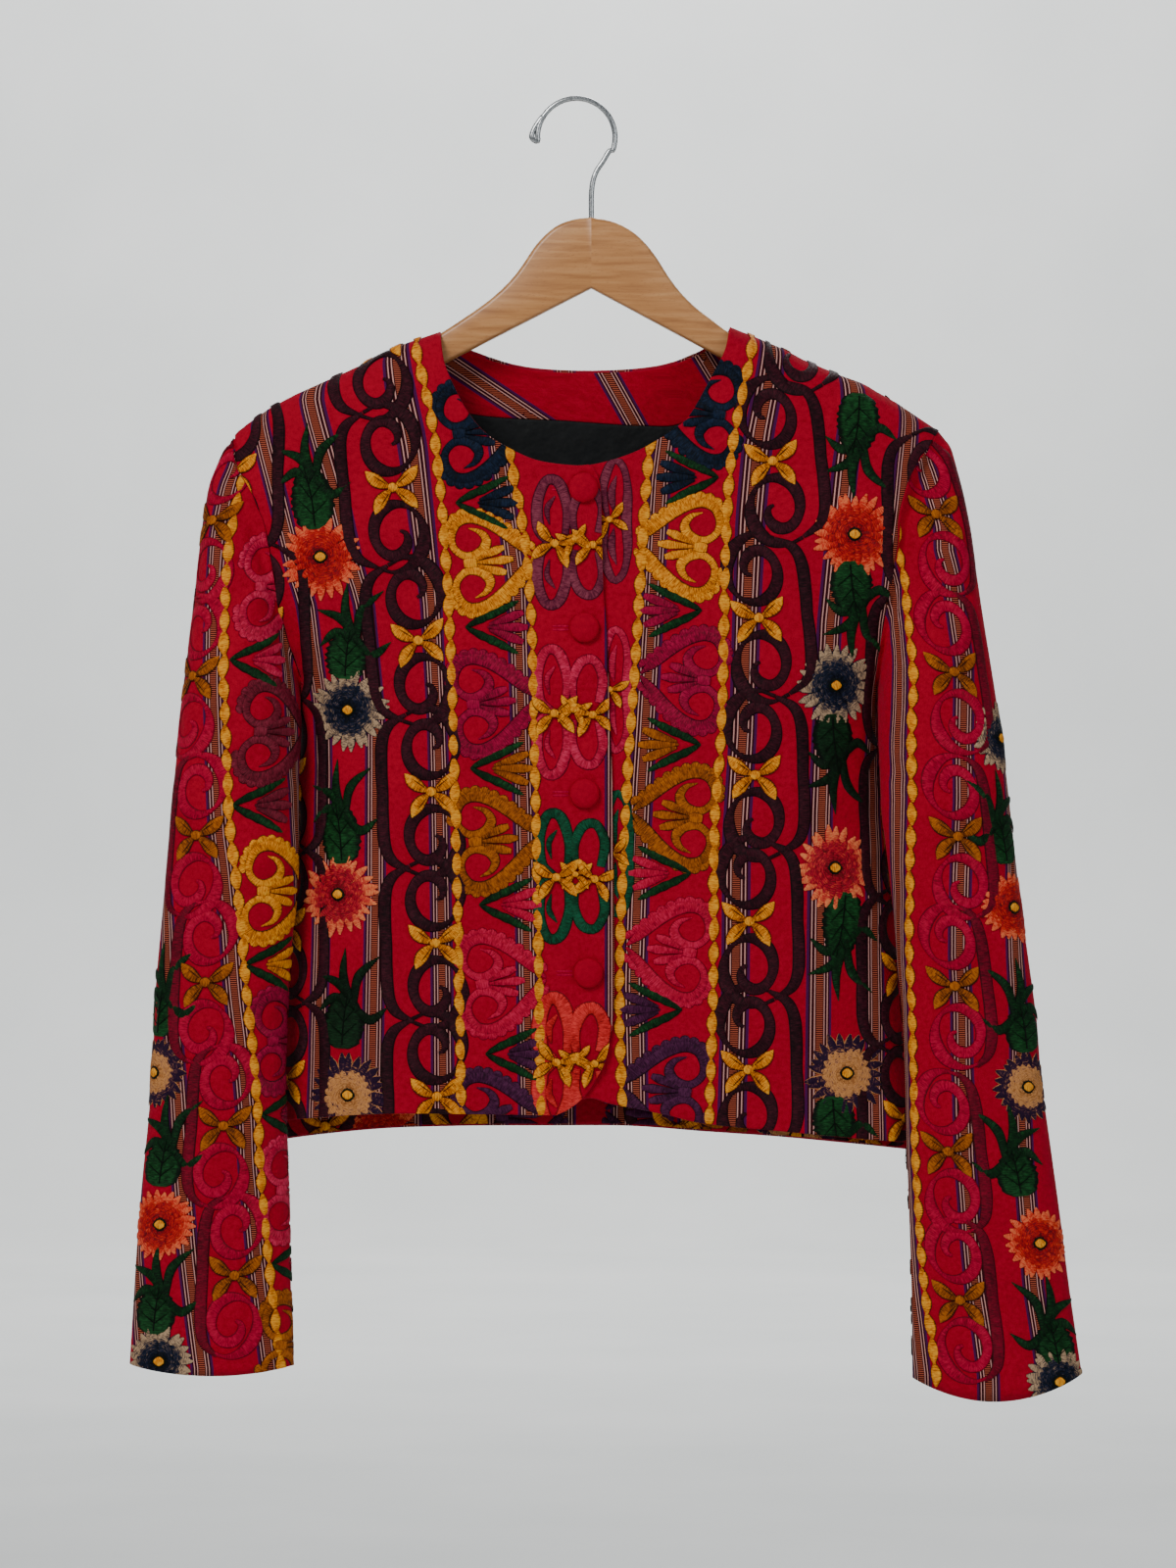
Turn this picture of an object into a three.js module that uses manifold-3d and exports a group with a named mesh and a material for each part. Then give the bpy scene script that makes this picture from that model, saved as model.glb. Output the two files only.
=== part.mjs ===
// A cropped, collarless, button-front jacket hanging on a wooden hanger.
// Millimetres, +Z up, the front faces -Y and the inner crown of the hook is the origin.
import * as THREE from "three";
import { mergeVertices } from "three/addons/utils/BufferGeometryUtils.js";
import Module from "manifold-3d";

const kernel = await Module();
kernel.setup();

// Cloth
const CLOTH = 1.7; // wall of the outer cloth
const INNER = 1.0; // wall of the facing, lining and turned-up hem
const SEAM = 0.3; // clearance between pieces that are sewn together
const LAP = 1.3; // how far each front moves off the mean surface where they overlap
const LAP_CENTRE = 12; // X of the middle of the overlap
const LAP_HALF = 24; // half the width that is flat under the overlap
const LAP_FADE = 60; // distance over which the two fronts come back to one surface

// Buttons
const BUTTON_R = 9.4;
const BUTTON_H = 4.6;
const BUTTONS = [
  { x: 4.6, z: -246 },
  { x: 5.2, z: -334 },
  { x: 5.3, z: -438 },
  { x: 7.6, z: -550.5 },
];

// Hanger
const WOOD_T = 11; // thickness of the wood
const WOOD_EDGE = 2.6; // width of its rounded edges
const WIRE_R = 1.7;
const BORE_DEEP = 24; // how deep the hook's hole goes into the wood

// The virtual top line of the body: shoulder slopes that go on over the neck.
const TOP_LINE = [
  [-230, -229], [-215, -214], [-178, -186], [-129, -162], [-110, -154.5], [-86, -146],
  [-40, -134], [6.5, -130], [55, -133], [97, -143.5], [120, -153.5], [144, -165.5],
  [169, -175.5], [202, -192], [230, -209], [250, -222],
];

// The body at each level: left and right side seam, half depth in front and behind, seam depth.
const BODY = [
  { z: -130, left: -238, right: 256, front: 23, back: 22, seam: 0 },
  { z: -230, left: -230, right: 246, front: 24, back: 22, seam: 0 },
  { z: -300, left: -207, right: 222, front: 26, back: 23, seam: 0 },
  { z: -340, left: -188, right: 203, front: 27, back: 23, seam: 0 },
  { z: -356, left: -180, right: 195.5, front: 27.5, back: 23.5, seam: 0 },
  { z: -366, left: -175, right: 191, front: 28, back: 24, seam: 0 },
  { z: -371, left: -172.7, right: 188.8, front: 28, back: 24, seam: 1 },
  { z: -392, left: -173.4, right: 190, front: 28.5, back: 25, seam: 7 },
  { z: -416, left: -176.5, right: 194, front: 28.8, back: 25.5, seam: 10 },
  { z: -445, left: -180, right: 198.5, front: 29, back: 26, seam: 11 },
  { z: -480, left: -183, right: 203.5, front: 29, back: 26.5, seam: 11.5 },
  { z: -520, left: -185.5, right: 208, front: 29, back: 27, seam: 12 },
  { z: -600, left: -190, right: 215, front: 29, back: 28, seam: 11 },
  { z: -668, left: -194, right: 222, front: 29, back: 28, seam: 10 },
];
const SLEEVE_AROUND = 32; // points round a sleeve
const SIDE_ROUND = 74; // how far in from a side seam the body reaches its full depth
const TOP_ROUND = 58; // the same, down from the shoulders

// Soft folds of the body: middle at the top and at the hem, half width, depth, where each begins.
const FOLDS = [
  { side: -1, x0: -118, x1: -104, half: 26, deep: 2.4, top: -300, full: -560 },
  { side: -1, x0: -62, x1: -52, half: 22, deep: -1.6, top: -360, full: -600 },
  { side: -1, x0: 74, x1: 86, half: 24, deep: 2.0, top: -330, full: -590 },
  { side: -1, x0: 138, x1: 160, half: 26, deep: -2.2, top: -280, full: -540 },
  { side: 1, x0: -96, x1: -112, half: 30, deep: 2.6, top: -290, full: -580 },
  { side: 1, x0: -10, x1: -4, half: 26, deep: -2.0, top: -350, full: -610 },
  { side: 1, x0: 92, x1: 112, half: 28, deep: 2.2, top: -320, full: -600 },
];

// Outlines of the cut pieces, seen from the front.
const NECK_FRONT_RIGHT = [
  [-86, -146], [-83.2, -166], [-76.9, -181.7], [-68.8, -197.2], [-57, -211.4],
  [-41.5, -221.3], [-24.2, -228.8], [-1.9, -231.9], [9.3, -231.3],
];
const NECK_FRONT_LEFT = [
  [-13, -231.6], [9.9, -231.3], [38.4, -222.6], [63.9, -207.1], [72.5, -198.4],
  [84.9, -176.1], [93.6, -158.7], [96.7, -144.5],
];
const NECK_BACK = [
  [-86, -146], [-76, -153], [-65.7, -158.7], [-32.9, -168.6], [9.9, -171.1],
  [52, -168], [79.4, -158.1], [90, -150], [96.7, -144.5],
];
const ARMHOLE_RIGHT = [
  [-215.8, -213.9], [-213.9, -231.3], [-205.2, -246.1], [-200, -259], [-195.3, -272.2],
  [-189.7, -303.8], [-187.9, -318.1], [-182, -341], [-177, -356], [-172.6, -369],
];
const ARMHOLE_LEFT = [
  [228.5, -208.9], [221.3, -220.7], [211.4, -235.6], [207.1, -246.8], [202.7, -264.1],
  [202.1, -281.5], [198, -306.9], [193.5, -332], [190.5, -352], [188.7, -369],
];
const FRONT_EDGE_RIGHT = [
  [9.3, -231.3], [14.9, -243.7], [16.1, -279], [17, -308.8], [19.5, -343.5], [20.5, -379.4],
  [22, -414.8], [23.2, -462.5], [23.6, -520.2], [23.6, -570.4], [19.2, -602], [13, -616.3],
  [5.6, -627.4], [-4, -635.5], [-13, -639.8],
];
const HEM_FRONT_RIGHT = [
  [-13, -639.8], [-60, -639.2], [-110, -638.5], [-150, -640.5], [-192, -645],
];
const HEM_FRONT_LEFT = [
  [-13, -634], [8, -629], [20.5, -632.5], [33.5, -635], [58.3, -640], [81.2, -645],
  [140, -651], [222, -659],
];
const HEM_BACK = [
  [-192, -658.5], [-181.7, -655.3], [-129, -650.4], [-76.9, -648.5], [-24.8, -648.5],
  [32.2, -648.5], [83.7, -652.2], [131.4, -655.3], [169.3, -658.4], [222, -663],
];
const UNDER_EDGE_X = -13; // the under front's edge, hidden by the front that laps it
const FACING_LOW = [[-110, -178], [-68.2, -196], [-4.3, -200.9], [45.3, -204], [70, -201.5], [118, -180]];
const TURN_UP_TOP = [[-200, -622], [-60, -614], [60, -614], [232, -628]];

// Sleeves, ring by ring: outer and inner end, half depth, depth of the middle.
const SLEEVE_RIGHT = [
  { xo: -222.6, zo: -222, xi: -174.3, zi: -370.6, half: 17, mid: 0 },
  { xo: -227.5, zo: -233, xi: -174.5, zi: -373.4, half: 21, mid: -1 },
  { xo: -231.9, zo: -246, xi: -174.2, zi: -377, half: 23.5, mid: -2.2 },
  { xo: -235.5, zo: -268, xi: -174.2, zi: -383, half: 25, mid: -5 },
  { xo: -238.1, zo: -293.3, xi: -174.2, zi: -391, half: 25.5, mid: -8 },
  { xo: -241.6, zo: -320, xi: -174.2, zi: -402, half: 25.5, mid: -11 },
  { xo: -245.5, zo: -349, xi: -174.4, zi: -416, half: 25.5, mid: -14 },
  { xo: -249, zo: -381, xi: -174.6, zi: -433, half: 25, mid: -15.5 },
  { xo: -252.5, zo: -415, xi: -174.6, zi: -452, half: 24.5, mid: -16.5 },
  { xo: -254.6, zo: -446, xi: -174.6, zi: -468, half: 24, mid: -17.5 },
  { xo: -257.3, zo: -480, xi: -175.6, zi: -492, half: 23.5, mid: -18 },
  { xo: -261, zo: -520, xi: -178, zi: -524, half: 23, mid: -18.5 },
  { xo: -264.5, zo: -560, xi: -181, zi: -560, half: 22, mid: -19 },
  { xo: -267.2, zo: -600, xi: -182.9, zi: -600, half: 21, mid: -19.5 },
  { xo: -270.5, zo: -640, xi: -182.6, zi: -640, half: 20, mid: -20 },
  { xo: -273.5, zo: -680, xi: -181.3, zi: -680, half: 19, mid: -20 },
  { xo: -276, zo: -720, xi: -180, zi: -720, half: 18, mid: -21 },
  { xo: -279, zo: -758, xi: -179, zi: -752, half: 17, mid: -22 },
  { xo: -281.5, zo: -791, xi: -178, zi: -783, half: 15.5, mid: -22.5 },
];
const SLEEVE_LEFT = [
  { xo: 233, zo: -214, xi: 190.2, zi: -370.6, half: 17, mid: 0 },
  { xo: 236.8, zo: -219.5, xi: 190.3, zi: -373.2, half: 21, mid: -1 },
  { xo: 240.4, zo: -232, xi: 190.6, zi: -377, half: 23.5, mid: -2.2 },
  { xo: 244.6, zo: -249, xi: 190.4, zi: -383, half: 25, mid: -5 },
  { xo: 248.4, zo: -270, xi: 190.4, zi: -391, half: 25.5, mid: -8 },
  { xo: 252.3, zo: -299, xi: 190.4, zi: -402, half: 25.5, mid: -11 },
  { xo: 256.4, zo: -328, xi: 190.8, zi: -416, half: 25.5, mid: -14 },
  { xo: 261, zo: -357, xi: 191.4, zi: -433, half: 25, mid: -15.5 },
  { xo: 266, zo: -390, xi: 192.2, zi: -452, half: 24.5, mid: -16.5 },
  { xo: 270.3, zo: -424, xi: 194.6, zi: -470, half: 24, mid: -17.5 },
  { xo: 274.5, zo: -462, xi: 197, zi: -491, half: 23.5, mid: -18 },
  { xo: 279, zo: -503, xi: 200, zi: -518, half: 23, mid: -18.5 },
  { xo: 284, zo: -539, xi: 202, zi: -546, half: 22, mid: -19 },
  { xo: 289.5, zo: -580, xi: 205, zi: -578, half: 21, mid: -19.5 },
  { xo: 293.5, zo: -617, xi: 208, zi: -617, half: 20, mid: -20 },
  { xo: 299, zo: -658, xi: 209.6, zi: -660, half: 19, mid: -20 },
  { xo: 305, zo: -705, xi: 210.8, zi: -705, half: 18, mid: -21 },
  { xo: 311, zo: -748, xi: 212, zi: -752, half: 17, mid: -22 },
  { xo: 318.5, zo: -799, xi: 212.3, zi: -801, half: 15.5, mid: -22.5 },
];
const CUFF_DROP = { right: 11, left: 13 }; // how far the middle of a cuff hangs lower

// The wood of the hanger, seen from the front.
const WOOD = [
  [9.5, -74], [18, -75.2], [27, -78], [36.3, -83.4], [44.1, -90.8], [51.3, -100], [58.2, -111],
  [65.9, -121.1], [75.3, -130.4], [84.7, -138.6], [96.7, -150.5], [120, -160.5], [144, -172.5],
  [169, -182.5], [196, -197], [209, -206], [213, -212], [212, -219.5], [205, -223], [190, -213],
  [160, -197], [128, -181], [92.4, -163], [8.1, -118.4], [-83, -166], [-120, -182.5],
  [-160, -202], [-184, -216.5], [-192, -219.5], [-198, -216.5], [-198.5, -211], [-192, -204],
  [-178, -193.5], [-129, -169], [-110, -161.5], [-84.9, -152], [-76, -145.4], [-66.7, -137],
  [-55.8, -128], [-46.4, -118.6], [-38.6, -110.2], [-32.4, -101.4], [-26.2, -92.2],
  [-19.3, -84.8], [-12.1, -79.2], [-4.3, -76], [2, -74.6],
];

// The hook's wire, from the folded tip round the crown and down into the wood.
const HOOK_CENTRE = { x: 0, z: -22.8 };
const HOOK_R = 24.5;
const HOOK_TIP = [[-21.2, -9.6], [-24.6, -14.2], [-27.3, -19], [-28.2, -22.8], [-26.4, -24.9]];
const HOOK_STEM = [[21, -31.5], [17, -38], [12.9, -44.2], [10.6, -50.5], [9.6, -58], [9.5, -70], [9.5, -84]];

const fabric = (color, roughness = 0.85) =>
  new THREE.MeshStandardMaterial({ color, roughness, metalness: 0 });
const RED = 0xa81424;
const BLACK = 0x15171b;

// ---- small helpers -------------------------------------------------------

const clamp = (v, lo = 0, hi = 1) => Math.min(hi, Math.max(lo, v));
const mix = (a, b, t) => a + (b - a) * t;
const smooth = (v) => {
  const t = clamp(v);
  return t * t * (3 - 2 * t);
};
const bulge = (t) => Math.sqrt(1 - (1 - clamp(t)) ** 2); // a quarter of an ellipse

// Height of a line of [x, z] points at x.
function along(points, x) {
  const last = points.length - 1;
  if (x <= points[0][0]) return points[0][1];
  for (let i = 0; i < last; i++) {
    const [a, b] = [points[i], points[i + 1]];
    if (x <= b[0]) return mix(a[1], b[1], (x - a[0]) / (b[0] - a[0]));
  }
  return points[last][1];
}

// One column of a table of levels, at z.
function level(table, z, name) {
  const last = table.length - 1;
  if (z >= table[0].z) return table[0][name];
  for (let i = 0; i < last; i++) {
    const [a, b] = [table[i], table[i + 1]];
    if (z >= b.z) return mix(a[name], b[name], smooth((z - a.z) / (b.z - a.z)));
  }
  return table[last][name];
}

// ---- the body's surface --------------------------------------------------

// Share of the full depth at a distance in from a side seam; the edge is flatter below the arms.
function edgeRound(rim, z) {
  return bulge(rim / SIDE_ROUND) ** mix(1, 1.3, smooth((-372 - z) / 60));
}

function foldDepth(side, x, z) {
  let sum = 0;
  for (const f of FOLDS) {
    if (f.side !== side) continue;
    const grown = smooth((f.top - z) / (f.top - f.full));
    const away = (x - mix(f.x0, f.x1, (z + 200) / -460)) / f.half;
    sum += f.deep * grown * Math.exp(-away * away);
  }
  return sum;
}

// A point of the front (side -1) or back (side 1) at share a across and depth d below the top line.
function bodyPoint(side, a, d) {
  const rough = -150 - d;
  const share = Math.sin((a * Math.PI) / 2) * 0.35 + a * 0.65;
  let z = rough;
  let x = 0;
  for (let pass = 0; pass < 6; pass++) {
    const left = level(BODY, z, "left");
    const right = level(BODY, z, "right");
    x = (left + right) / 2 + (share * (right - left)) / 2;
    z = along(TOP_LINE, x) - d;
  }
  const left = level(BODY, z, "left");
  const right = level(BODY, z, "right");
  const rim = Math.min(x - left, right - x);
  const sideways = edgeRound(rim, z);
  const down = bulge(d / TOP_ROUND);
  const deep = level(BODY, z, side < 0 ? "front" : "back");
  const seam = level(BODY, z, "seam");
  const full = (deep - side * seam) * sideways + foldDepth(side, x, z) * sideways;
  return new THREE.Vector3(x, seam * down + side * full * down, z);
}

// Rows of points over the whole front or back; rows and columns close up at the seams.
const HALF_ACROSS = [1, 0.996, 0.983, 0.955, 0.91, 0.84, 0.75, 0.64, 0.52, 0.4, 0.29, 0.18, 0.06];
const ACROSS = [...HALF_ACROSS.map((a) => -a), ...[...HALF_ACROSS].reverse()];
const DOWN = [
  0, 0.6, 2.4, 5.6, 10.6, 18, 28, 41, 58, 84, 114, 146, 180, 216, 252, 290, 330, 372, 416, 460,
  505, 545,
];

function surfaceRows(side, shift) {
  return DOWN.map((d) =>
    ACROSS.map((a) => {
      const p = bodyPoint(side, a, d);
      p.y += side * (SEAM / 2) + shift(p.x, p.z);
      return p;
    }),
  );
}

// Outward direction at each point of the rows.
function rowNormals(rows, side) {
  const step = new THREE.Vector3();
  const fall = new THREE.Vector3();
  return rows.map((row, i) =>
    row.map((p, j) => {
      const up = rows[Math.max(0, i - 1)][j];
      const low = rows[Math.min(rows.length - 1, i + 1)][j];
      step.subVectors(row[Math.min(row.length - 1, j + 1)], row[Math.max(0, j - 1)]);
      fall.subVectors(up, low);
      if (j === 0 || j === row.length - 1) return new THREE.Vector3(j === 0 ? -1 : 1, 0, 0);
      const out = new THREE.Vector3().crossVectors(step, fall).normalize();
      if (out.y * side < 0) out.negate();
      if (i === 0) out.set(0, 0, 1);
      return out;
    }),
  );
}

const moved = (rows, normals, by) =>
  rows.map((row, i) => row.map((p, j) => p.clone().addScaledVector(normals[i][j], by)));

// ---- closed bodies from grids --------------------------------------------

// A wall between two grids of points, closed round its rim, or round the ring when it wraps.
function wall(outer, inner, wraps = false) {
  const rows = outer.length;
  const cols = outer[0].length;
  const points = [...outer.flat(), ...inner.flat()];
  const at = (layer, i, j) => layer * rows * cols + i * cols + (j % cols);
  const faces = [];
  const quad = (a, b, c, d) => faces.push(a, b, c, a, c, d);
  const width = wraps ? cols : cols - 1;
  for (let i = 0; i < rows - 1; i++) {
    for (let j = 0; j < width; j++) {
      quad(at(0, i, j), at(0, i + 1, j), at(0, i + 1, j + 1), at(0, i, j + 1));
      quad(at(1, i, j), at(1, i, j + 1), at(1, i + 1, j + 1), at(1, i + 1, j));
    }
    if (!wraps) {
      quad(at(0, i, 0), at(1, i, 0), at(1, i + 1, 0), at(0, i + 1, 0));
      quad(at(0, i, cols - 1), at(0, i + 1, cols - 1), at(1, i + 1, cols - 1), at(1, i, cols - 1));
    }
  }
  for (let j = 0; j < width; j++) {
    quad(at(0, 0, j), at(0, 0, j + 1), at(1, 0, j + 1), at(1, 0, j));
    quad(at(0, rows - 1, j), at(1, rows - 1, j), at(1, rows - 1, j + 1), at(0, rows - 1, j + 1));
  }
  return facingOut(points, faces);
}

function facingOut(points, faces) {
  let volume = 0;
  const cross = new THREE.Vector3();
  for (let k = 0; k < faces.length; k += 3) {
    const [a, b, c] = [points[faces[k]], points[faces[k + 1]], points[faces[k + 2]]];
    volume += a.dot(cross.crossVectors(b, c));
  }
  if (volume < 0) faces.reverse();
  const geometry = new THREE.BufferGeometry();
  geometry.setAttribute(
    "position",
    new THREE.Float32BufferAttribute(points.flatMap((p) => [p.x, p.y, p.z]), 3),
  );
  geometry.setIndex(faces);
  return geometry;
}

function toManifold(geometry) {
  const mesh = new kernel.Mesh({
    numProp: 3,
    vertProperties: new Float32Array(geometry.attributes.position.array),
    triVerts: new Uint32Array(geometry.index.array),
  });
  mesh.merge();
  return new kernel.Manifold(mesh);
}

// A three.js geometry with only its places left, so that its faces share their corners.
function merged(geometry) {
  geometry.deleteAttribute("normal");
  geometry.deleteAttribute("uv");
  return mergeVertices(geometry);
}

function toGeometry(manifold) {
  const mesh = manifold.getMesh();
  const geometry = new THREE.BufferGeometry();
  geometry.setAttribute("position", new THREE.Float32BufferAttribute(mesh.vertProperties, 3));
  geometry.setIndex(Array.from(mesh.triVerts));
  return geometry;
}

// The biggest body of a cut, without the specks that a cut along a seam can leave.
const biggest = (cut) => cut.decompose().sort((a, b) => b.volume() - a.volume())[0];

// A prism along Y through an outline of [x, z] points, with rounded edges of a width inside it.
function prism(outline, thick = 240, edge = 0) {
  const shape = new THREE.Shape(outline.map(([x, z]) => new THREE.Vector2(x, z)));
  const geometry = new THREE.ExtrudeGeometry(shape, {
    depth: thick - 2 * edge,
    bevelEnabled: edge > 0,
    bevelThickness: edge,
    bevelSize: edge,
    bevelOffset: -edge,
    bevelSegments: 3,
  });
  geometry.translate(0, 0, edge - thick / 2);
  geometry.rotateX(Math.PI / 2);
  return toManifold(merged(geometry));
}

function mesh(name, geometry, material) {
  geometry.computeVertexNormals();
  const made = new THREE.Mesh(geometry, material);
  made.name = name;
  return made;
}

// ---- the jacket's body ---------------------------------------------------

const stay = () => 0;
const lap = (towards) => (x) =>
  towards * LAP * (1 - smooth((Math.abs(x - LAP_CENTRE) - LAP_HALF) / LAP_FADE));

// Cuts one piece from a wall that starts at one depth in the cloth and ends at another.
function cutPiece(side, shift, from, thick, outline) {
  const rows = surfaceRows(side, shift);
  const normals = rowNormals(rows, side);
  const shell = wall(moved(rows, normals, -from), moved(rows, normals, -from - thick));
  return toGeometry(biggest(toManifold(shell).intersect(prism(outline))));
}

// The armhole's curve at the same points as the sleeve's first ring, moved sideways.
function seamLine(armhole, dx) {
  const line = [];
  for (let k = 0; k <= SLEEVE_AROUND / 2; k++) {
    const share = (1 - Math.cos((k / SLEEVE_AROUND) * 2 * Math.PI)) / 2;
    const [x, z] = atShare(armhole, share);
    line.push([x + dx, z]);
  }
  return line;
}

function frontRight() {
  const outline = [
    ...NECK_FRONT_RIGHT, ...FRONT_EDGE_RIGHT.slice(1), ...HEM_FRONT_RIGHT.slice(1), [-260, -645],
    [-260, -380], [-172.4, -376], ...seamLine(ARMHOLE_RIGHT, SEAM / 2).reverse(),
    [-215.6, -150], [-86, -100],
  ];
  return mesh("front_right", cutPiece(-1, lap(-1), 0, CLOTH, outline), fabric(RED));
}

function frontLeft() {
  const outline = [
    ...NECK_FRONT_LEFT, [96.7, -100], [228.3, -150], ...seamLine(ARMHOLE_LEFT, -SEAM / 2),
    [188.5, -376], [280, -380], [280, -659], ...[...HEM_FRONT_LEFT].reverse(),
  ];
  outline[0] = [UNDER_EDGE_X, NECK_FRONT_LEFT[0][1]];
  return mesh("front_left", cutPiece(-1, lap(1), 0, CLOTH, outline), fabric(RED));
}

function backOutline(margin) {
  return [
    ...NECK_BACK.map(([x, z]) => [x, z - margin]), [96.7, -100], [228.3 - margin, -150],
    ...seamLine(ARMHOLE_LEFT, -SEAM / 2 - margin), [188.5 - margin, -376],
    [280, -380], [280, -663 + margin],
    ...[...HEM_BACK].reverse().map(([x, z]) => [x, z + margin]), [-260, -658 + margin],
    [-260, -380], [-172.4 + margin, -376], ...seamLine(ARMHOLE_RIGHT, SEAM / 2 + margin).reverse(),
    [-215.6 + margin, -150], [-86, -100],
  ];
}

function back() {
  return mesh("back", cutPiece(1, stay, 0, CLOTH, backOutline(0)), fabric(RED));
}

// A layer on the inside of the back, between a lower and an upper line.
function insideLayer(name, upper, lower, material) {
  const rows = surfaceRows(1, stay);
  const normals = rowNormals(rows, 1);
  const from = -CLOTH - SEAM;
  const shell = wall(moved(rows, normals, from), moved(rows, normals, from - INNER));
  const strip = [
    [-260, upper[0][1]], ...upper, [280, upper.at(-1)[1]],
    [280, lower.at(-1)[1]], ...[...lower].reverse(), [-260, lower[0][1]],
  ];
  const trimmed = toManifold(shell).intersect(prism(backOutline(1.2))).intersect(prism(strip));
  return mesh(name, toGeometry(biggest(trimmed)), material);
}

const lowered = (points, by) => points.map(([x, z]) => [x, z - by]);

function backLayers() {
  const top = [[-110, -120], [118, -120]];
  const foot = [[-192, -680], [222, -680]];
  return [
    insideLayer("back_neck_facing", top, FACING_LOW, fabric(RED)),
    insideLayer("back_lining", lowered(FACING_LOW, SEAM), lowered(TURN_UP_TOP, -SEAM), fabric(BLACK, 0.6)),
    insideLayer("back_hem_turn_up", TURN_UP_TOP, foot, fabric(RED)),
  ];
}

// ---- sleeves -------------------------------------------------------------

const SEAM_SHAPE = [0.8, 0.55, 0.34, 0.18, 0.08]; // how far the armhole's curve goes on into the rings

// Depth of the body's cloth where a plan point lies on it.
function bodyDepth(side, x, z) {
  const d = along(TOP_LINE, x) - z;
  const left = level(BODY, z, "left");
  const right = level(BODY, z, "right");
  const rim = Math.min(x - left, right - x);
  const down = bulge(d / TOP_ROUND);
  const deep = level(BODY, z, side < 0 ? "front" : "back");
  const seam = level(BODY, z, "seam");
  const sideways = edgeRound(rim, z);
  return seam * down + side * (deep - side * seam + foldDepth(side, x, z)) * sideways * down;
}

// A point a share s of the way along a line of points, by length.
function atShare(points, s) {
  const lengths = [0];
  for (let i = 1; i < points.length; i++) {
    const [a, b] = [points[i - 1], points[i]];
    lengths.push(lengths[i - 1] + Math.hypot(b[0] - a[0], b[1] - a[1]));
  }
  const want = s * lengths.at(-1);
  const i = Math.max(1, lengths.findIndex((l) => l >= want - 1e-9));
  const t = (want - lengths[i - 1]) / (lengths[i] - lengths[i - 1]);
  return [mix(points[i - 1][0], points[i][0], t), mix(points[i - 1][1], points[i][1], t)];
}

// The ring at the armhole: down the front from the shoulder to the underarm, up the back.
function armholeRing(armhole, outward) {
  const ring = [];
  for (let k = 0; k < SLEEVE_AROUND; k++) {
    const turn = (k / SLEEVE_AROUND) * 2 * Math.PI;
    const share = (1 - Math.cos(turn)) / 2;
    const side = Math.sin(turn) >= 0 ? -1 : 1;
    const [x, z] = atShare(armhole, share);
    const y = bodyDepth(side, x, z);
    ring.push(new THREE.Vector3(x + outward * 0.8 * SEAM, y, z));
  }
  return ring;
}

function sleeveRing(row, drop, armhole, keep) {
  const ring = [];
  const [top, foot] = [armhole[0], armhole.at(-1)];
  for (let k = 0; k < SLEEVE_AROUND; k++) {
    const turn = (k / SLEEVE_AROUND) * 2 * Math.PI;
    const share = (1 - Math.cos(turn)) / 2;
    const deep = Math.sign(Math.sin(turn)) * Math.abs(Math.sin(turn)) ** mix(0.85, 1.2, share);
    const sag = drop * Math.sin(turn) ** 2;
    const [ax, az] = atShare(armhole, share);
    ring.push(
      new THREE.Vector3(
        mix(row.xo, row.xi, share) + keep * (ax - mix(top[0], foot[0], share)),
        row.mid - row.half * deep,
        mix(row.zo, row.zi, share) + keep * (az - mix(top[1], foot[1], share)) - sag,
      ),
    );
  }
  return ring;
}

// Moves each ring's points inwards, square to the sleeve's surface.
function ringsInward(rings, by) {
  const along1 = new THREE.Vector3();
  const round = new THREE.Vector3();
  const n = SLEEVE_AROUND;
  return rings.map((ring, i) => {
    const centre = ring.reduce((s, p) => s.add(p), new THREE.Vector3()).divideScalar(n);
    return ring.map((p, k) => {
      round.subVectors(ring[(k + 1) % n], ring[(k + n - 1) % n]);
      along1.subVectors(
        rings[Math.min(rings.length - 1, i + 1)][k],
        rings[Math.max(0, i - 1)][k],
      );
      const out = new THREE.Vector3().crossVectors(round, along1).normalize();
      if (out.dot(new THREE.Vector3().subVectors(p, centre)) < 0) out.negate();
      if (i === 0) out.setX(0).normalize();
      return p.clone().addScaledVector(out, -by);
    });
  });
}

// The first ring's inner edge stays on the sleeve's side of the armhole's curve.
function sleeve(name, armhole, table, drop, outward) {
  const rings = [armholeRing(armhole, outward)];
  table.forEach((row, i) => {
    const low = i === table.length - 1 ? drop : drop * smooth((i - 14) / 6);
    rings.push(sleeveRing(row, Math.max(0, low), armhole, SEAM_SHAPE[i] ?? 0));
  });
  const inner = ringsInward(rings, CLOTH);
  const curve = armhole.map(([x, z]) => [-z, x]);
  for (const p of inner[0]) {
    const limit = along(curve, -p.z) + outward * 0.8 * SEAM;
    p.x = outward < 0 ? Math.min(p.x, limit) : Math.max(p.x, limit);
  }
  return mesh(name, wall(rings, inner, true), fabric(RED));
}

// ---- buttons, hanger and hook --------------------------------------------

function button(index) {
  const { x, z } = BUTTONS[index];
  const profile = [];
  for (let i = 0; i <= 5; i++) {
    const turn = (i / 5) * (Math.PI / 2);
    profile.push(new THREE.Vector2(BUTTON_R * Math.cos(turn), 1.4 + (BUTTON_H - 1.4) * Math.sin(turn)));
  }
  profile[5].x = 0;
  const points = [new THREE.Vector2(0, 0), new THREE.Vector2(BUTTON_R - 0.9, 0), ...profile];
  const geometry = new THREE.LatheGeometry(points, 28);
  geometry.rotateX(Math.PI);
  const face = bodyDepth(-1, x, z) - SEAM / 2 - LAP;
  geometry.translate(x, face - 0.55, z);
  return mesh(`button_${index + 1}`, toGeometry(toManifold(geometry)), fabric(RED, 0.8));
}

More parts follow.
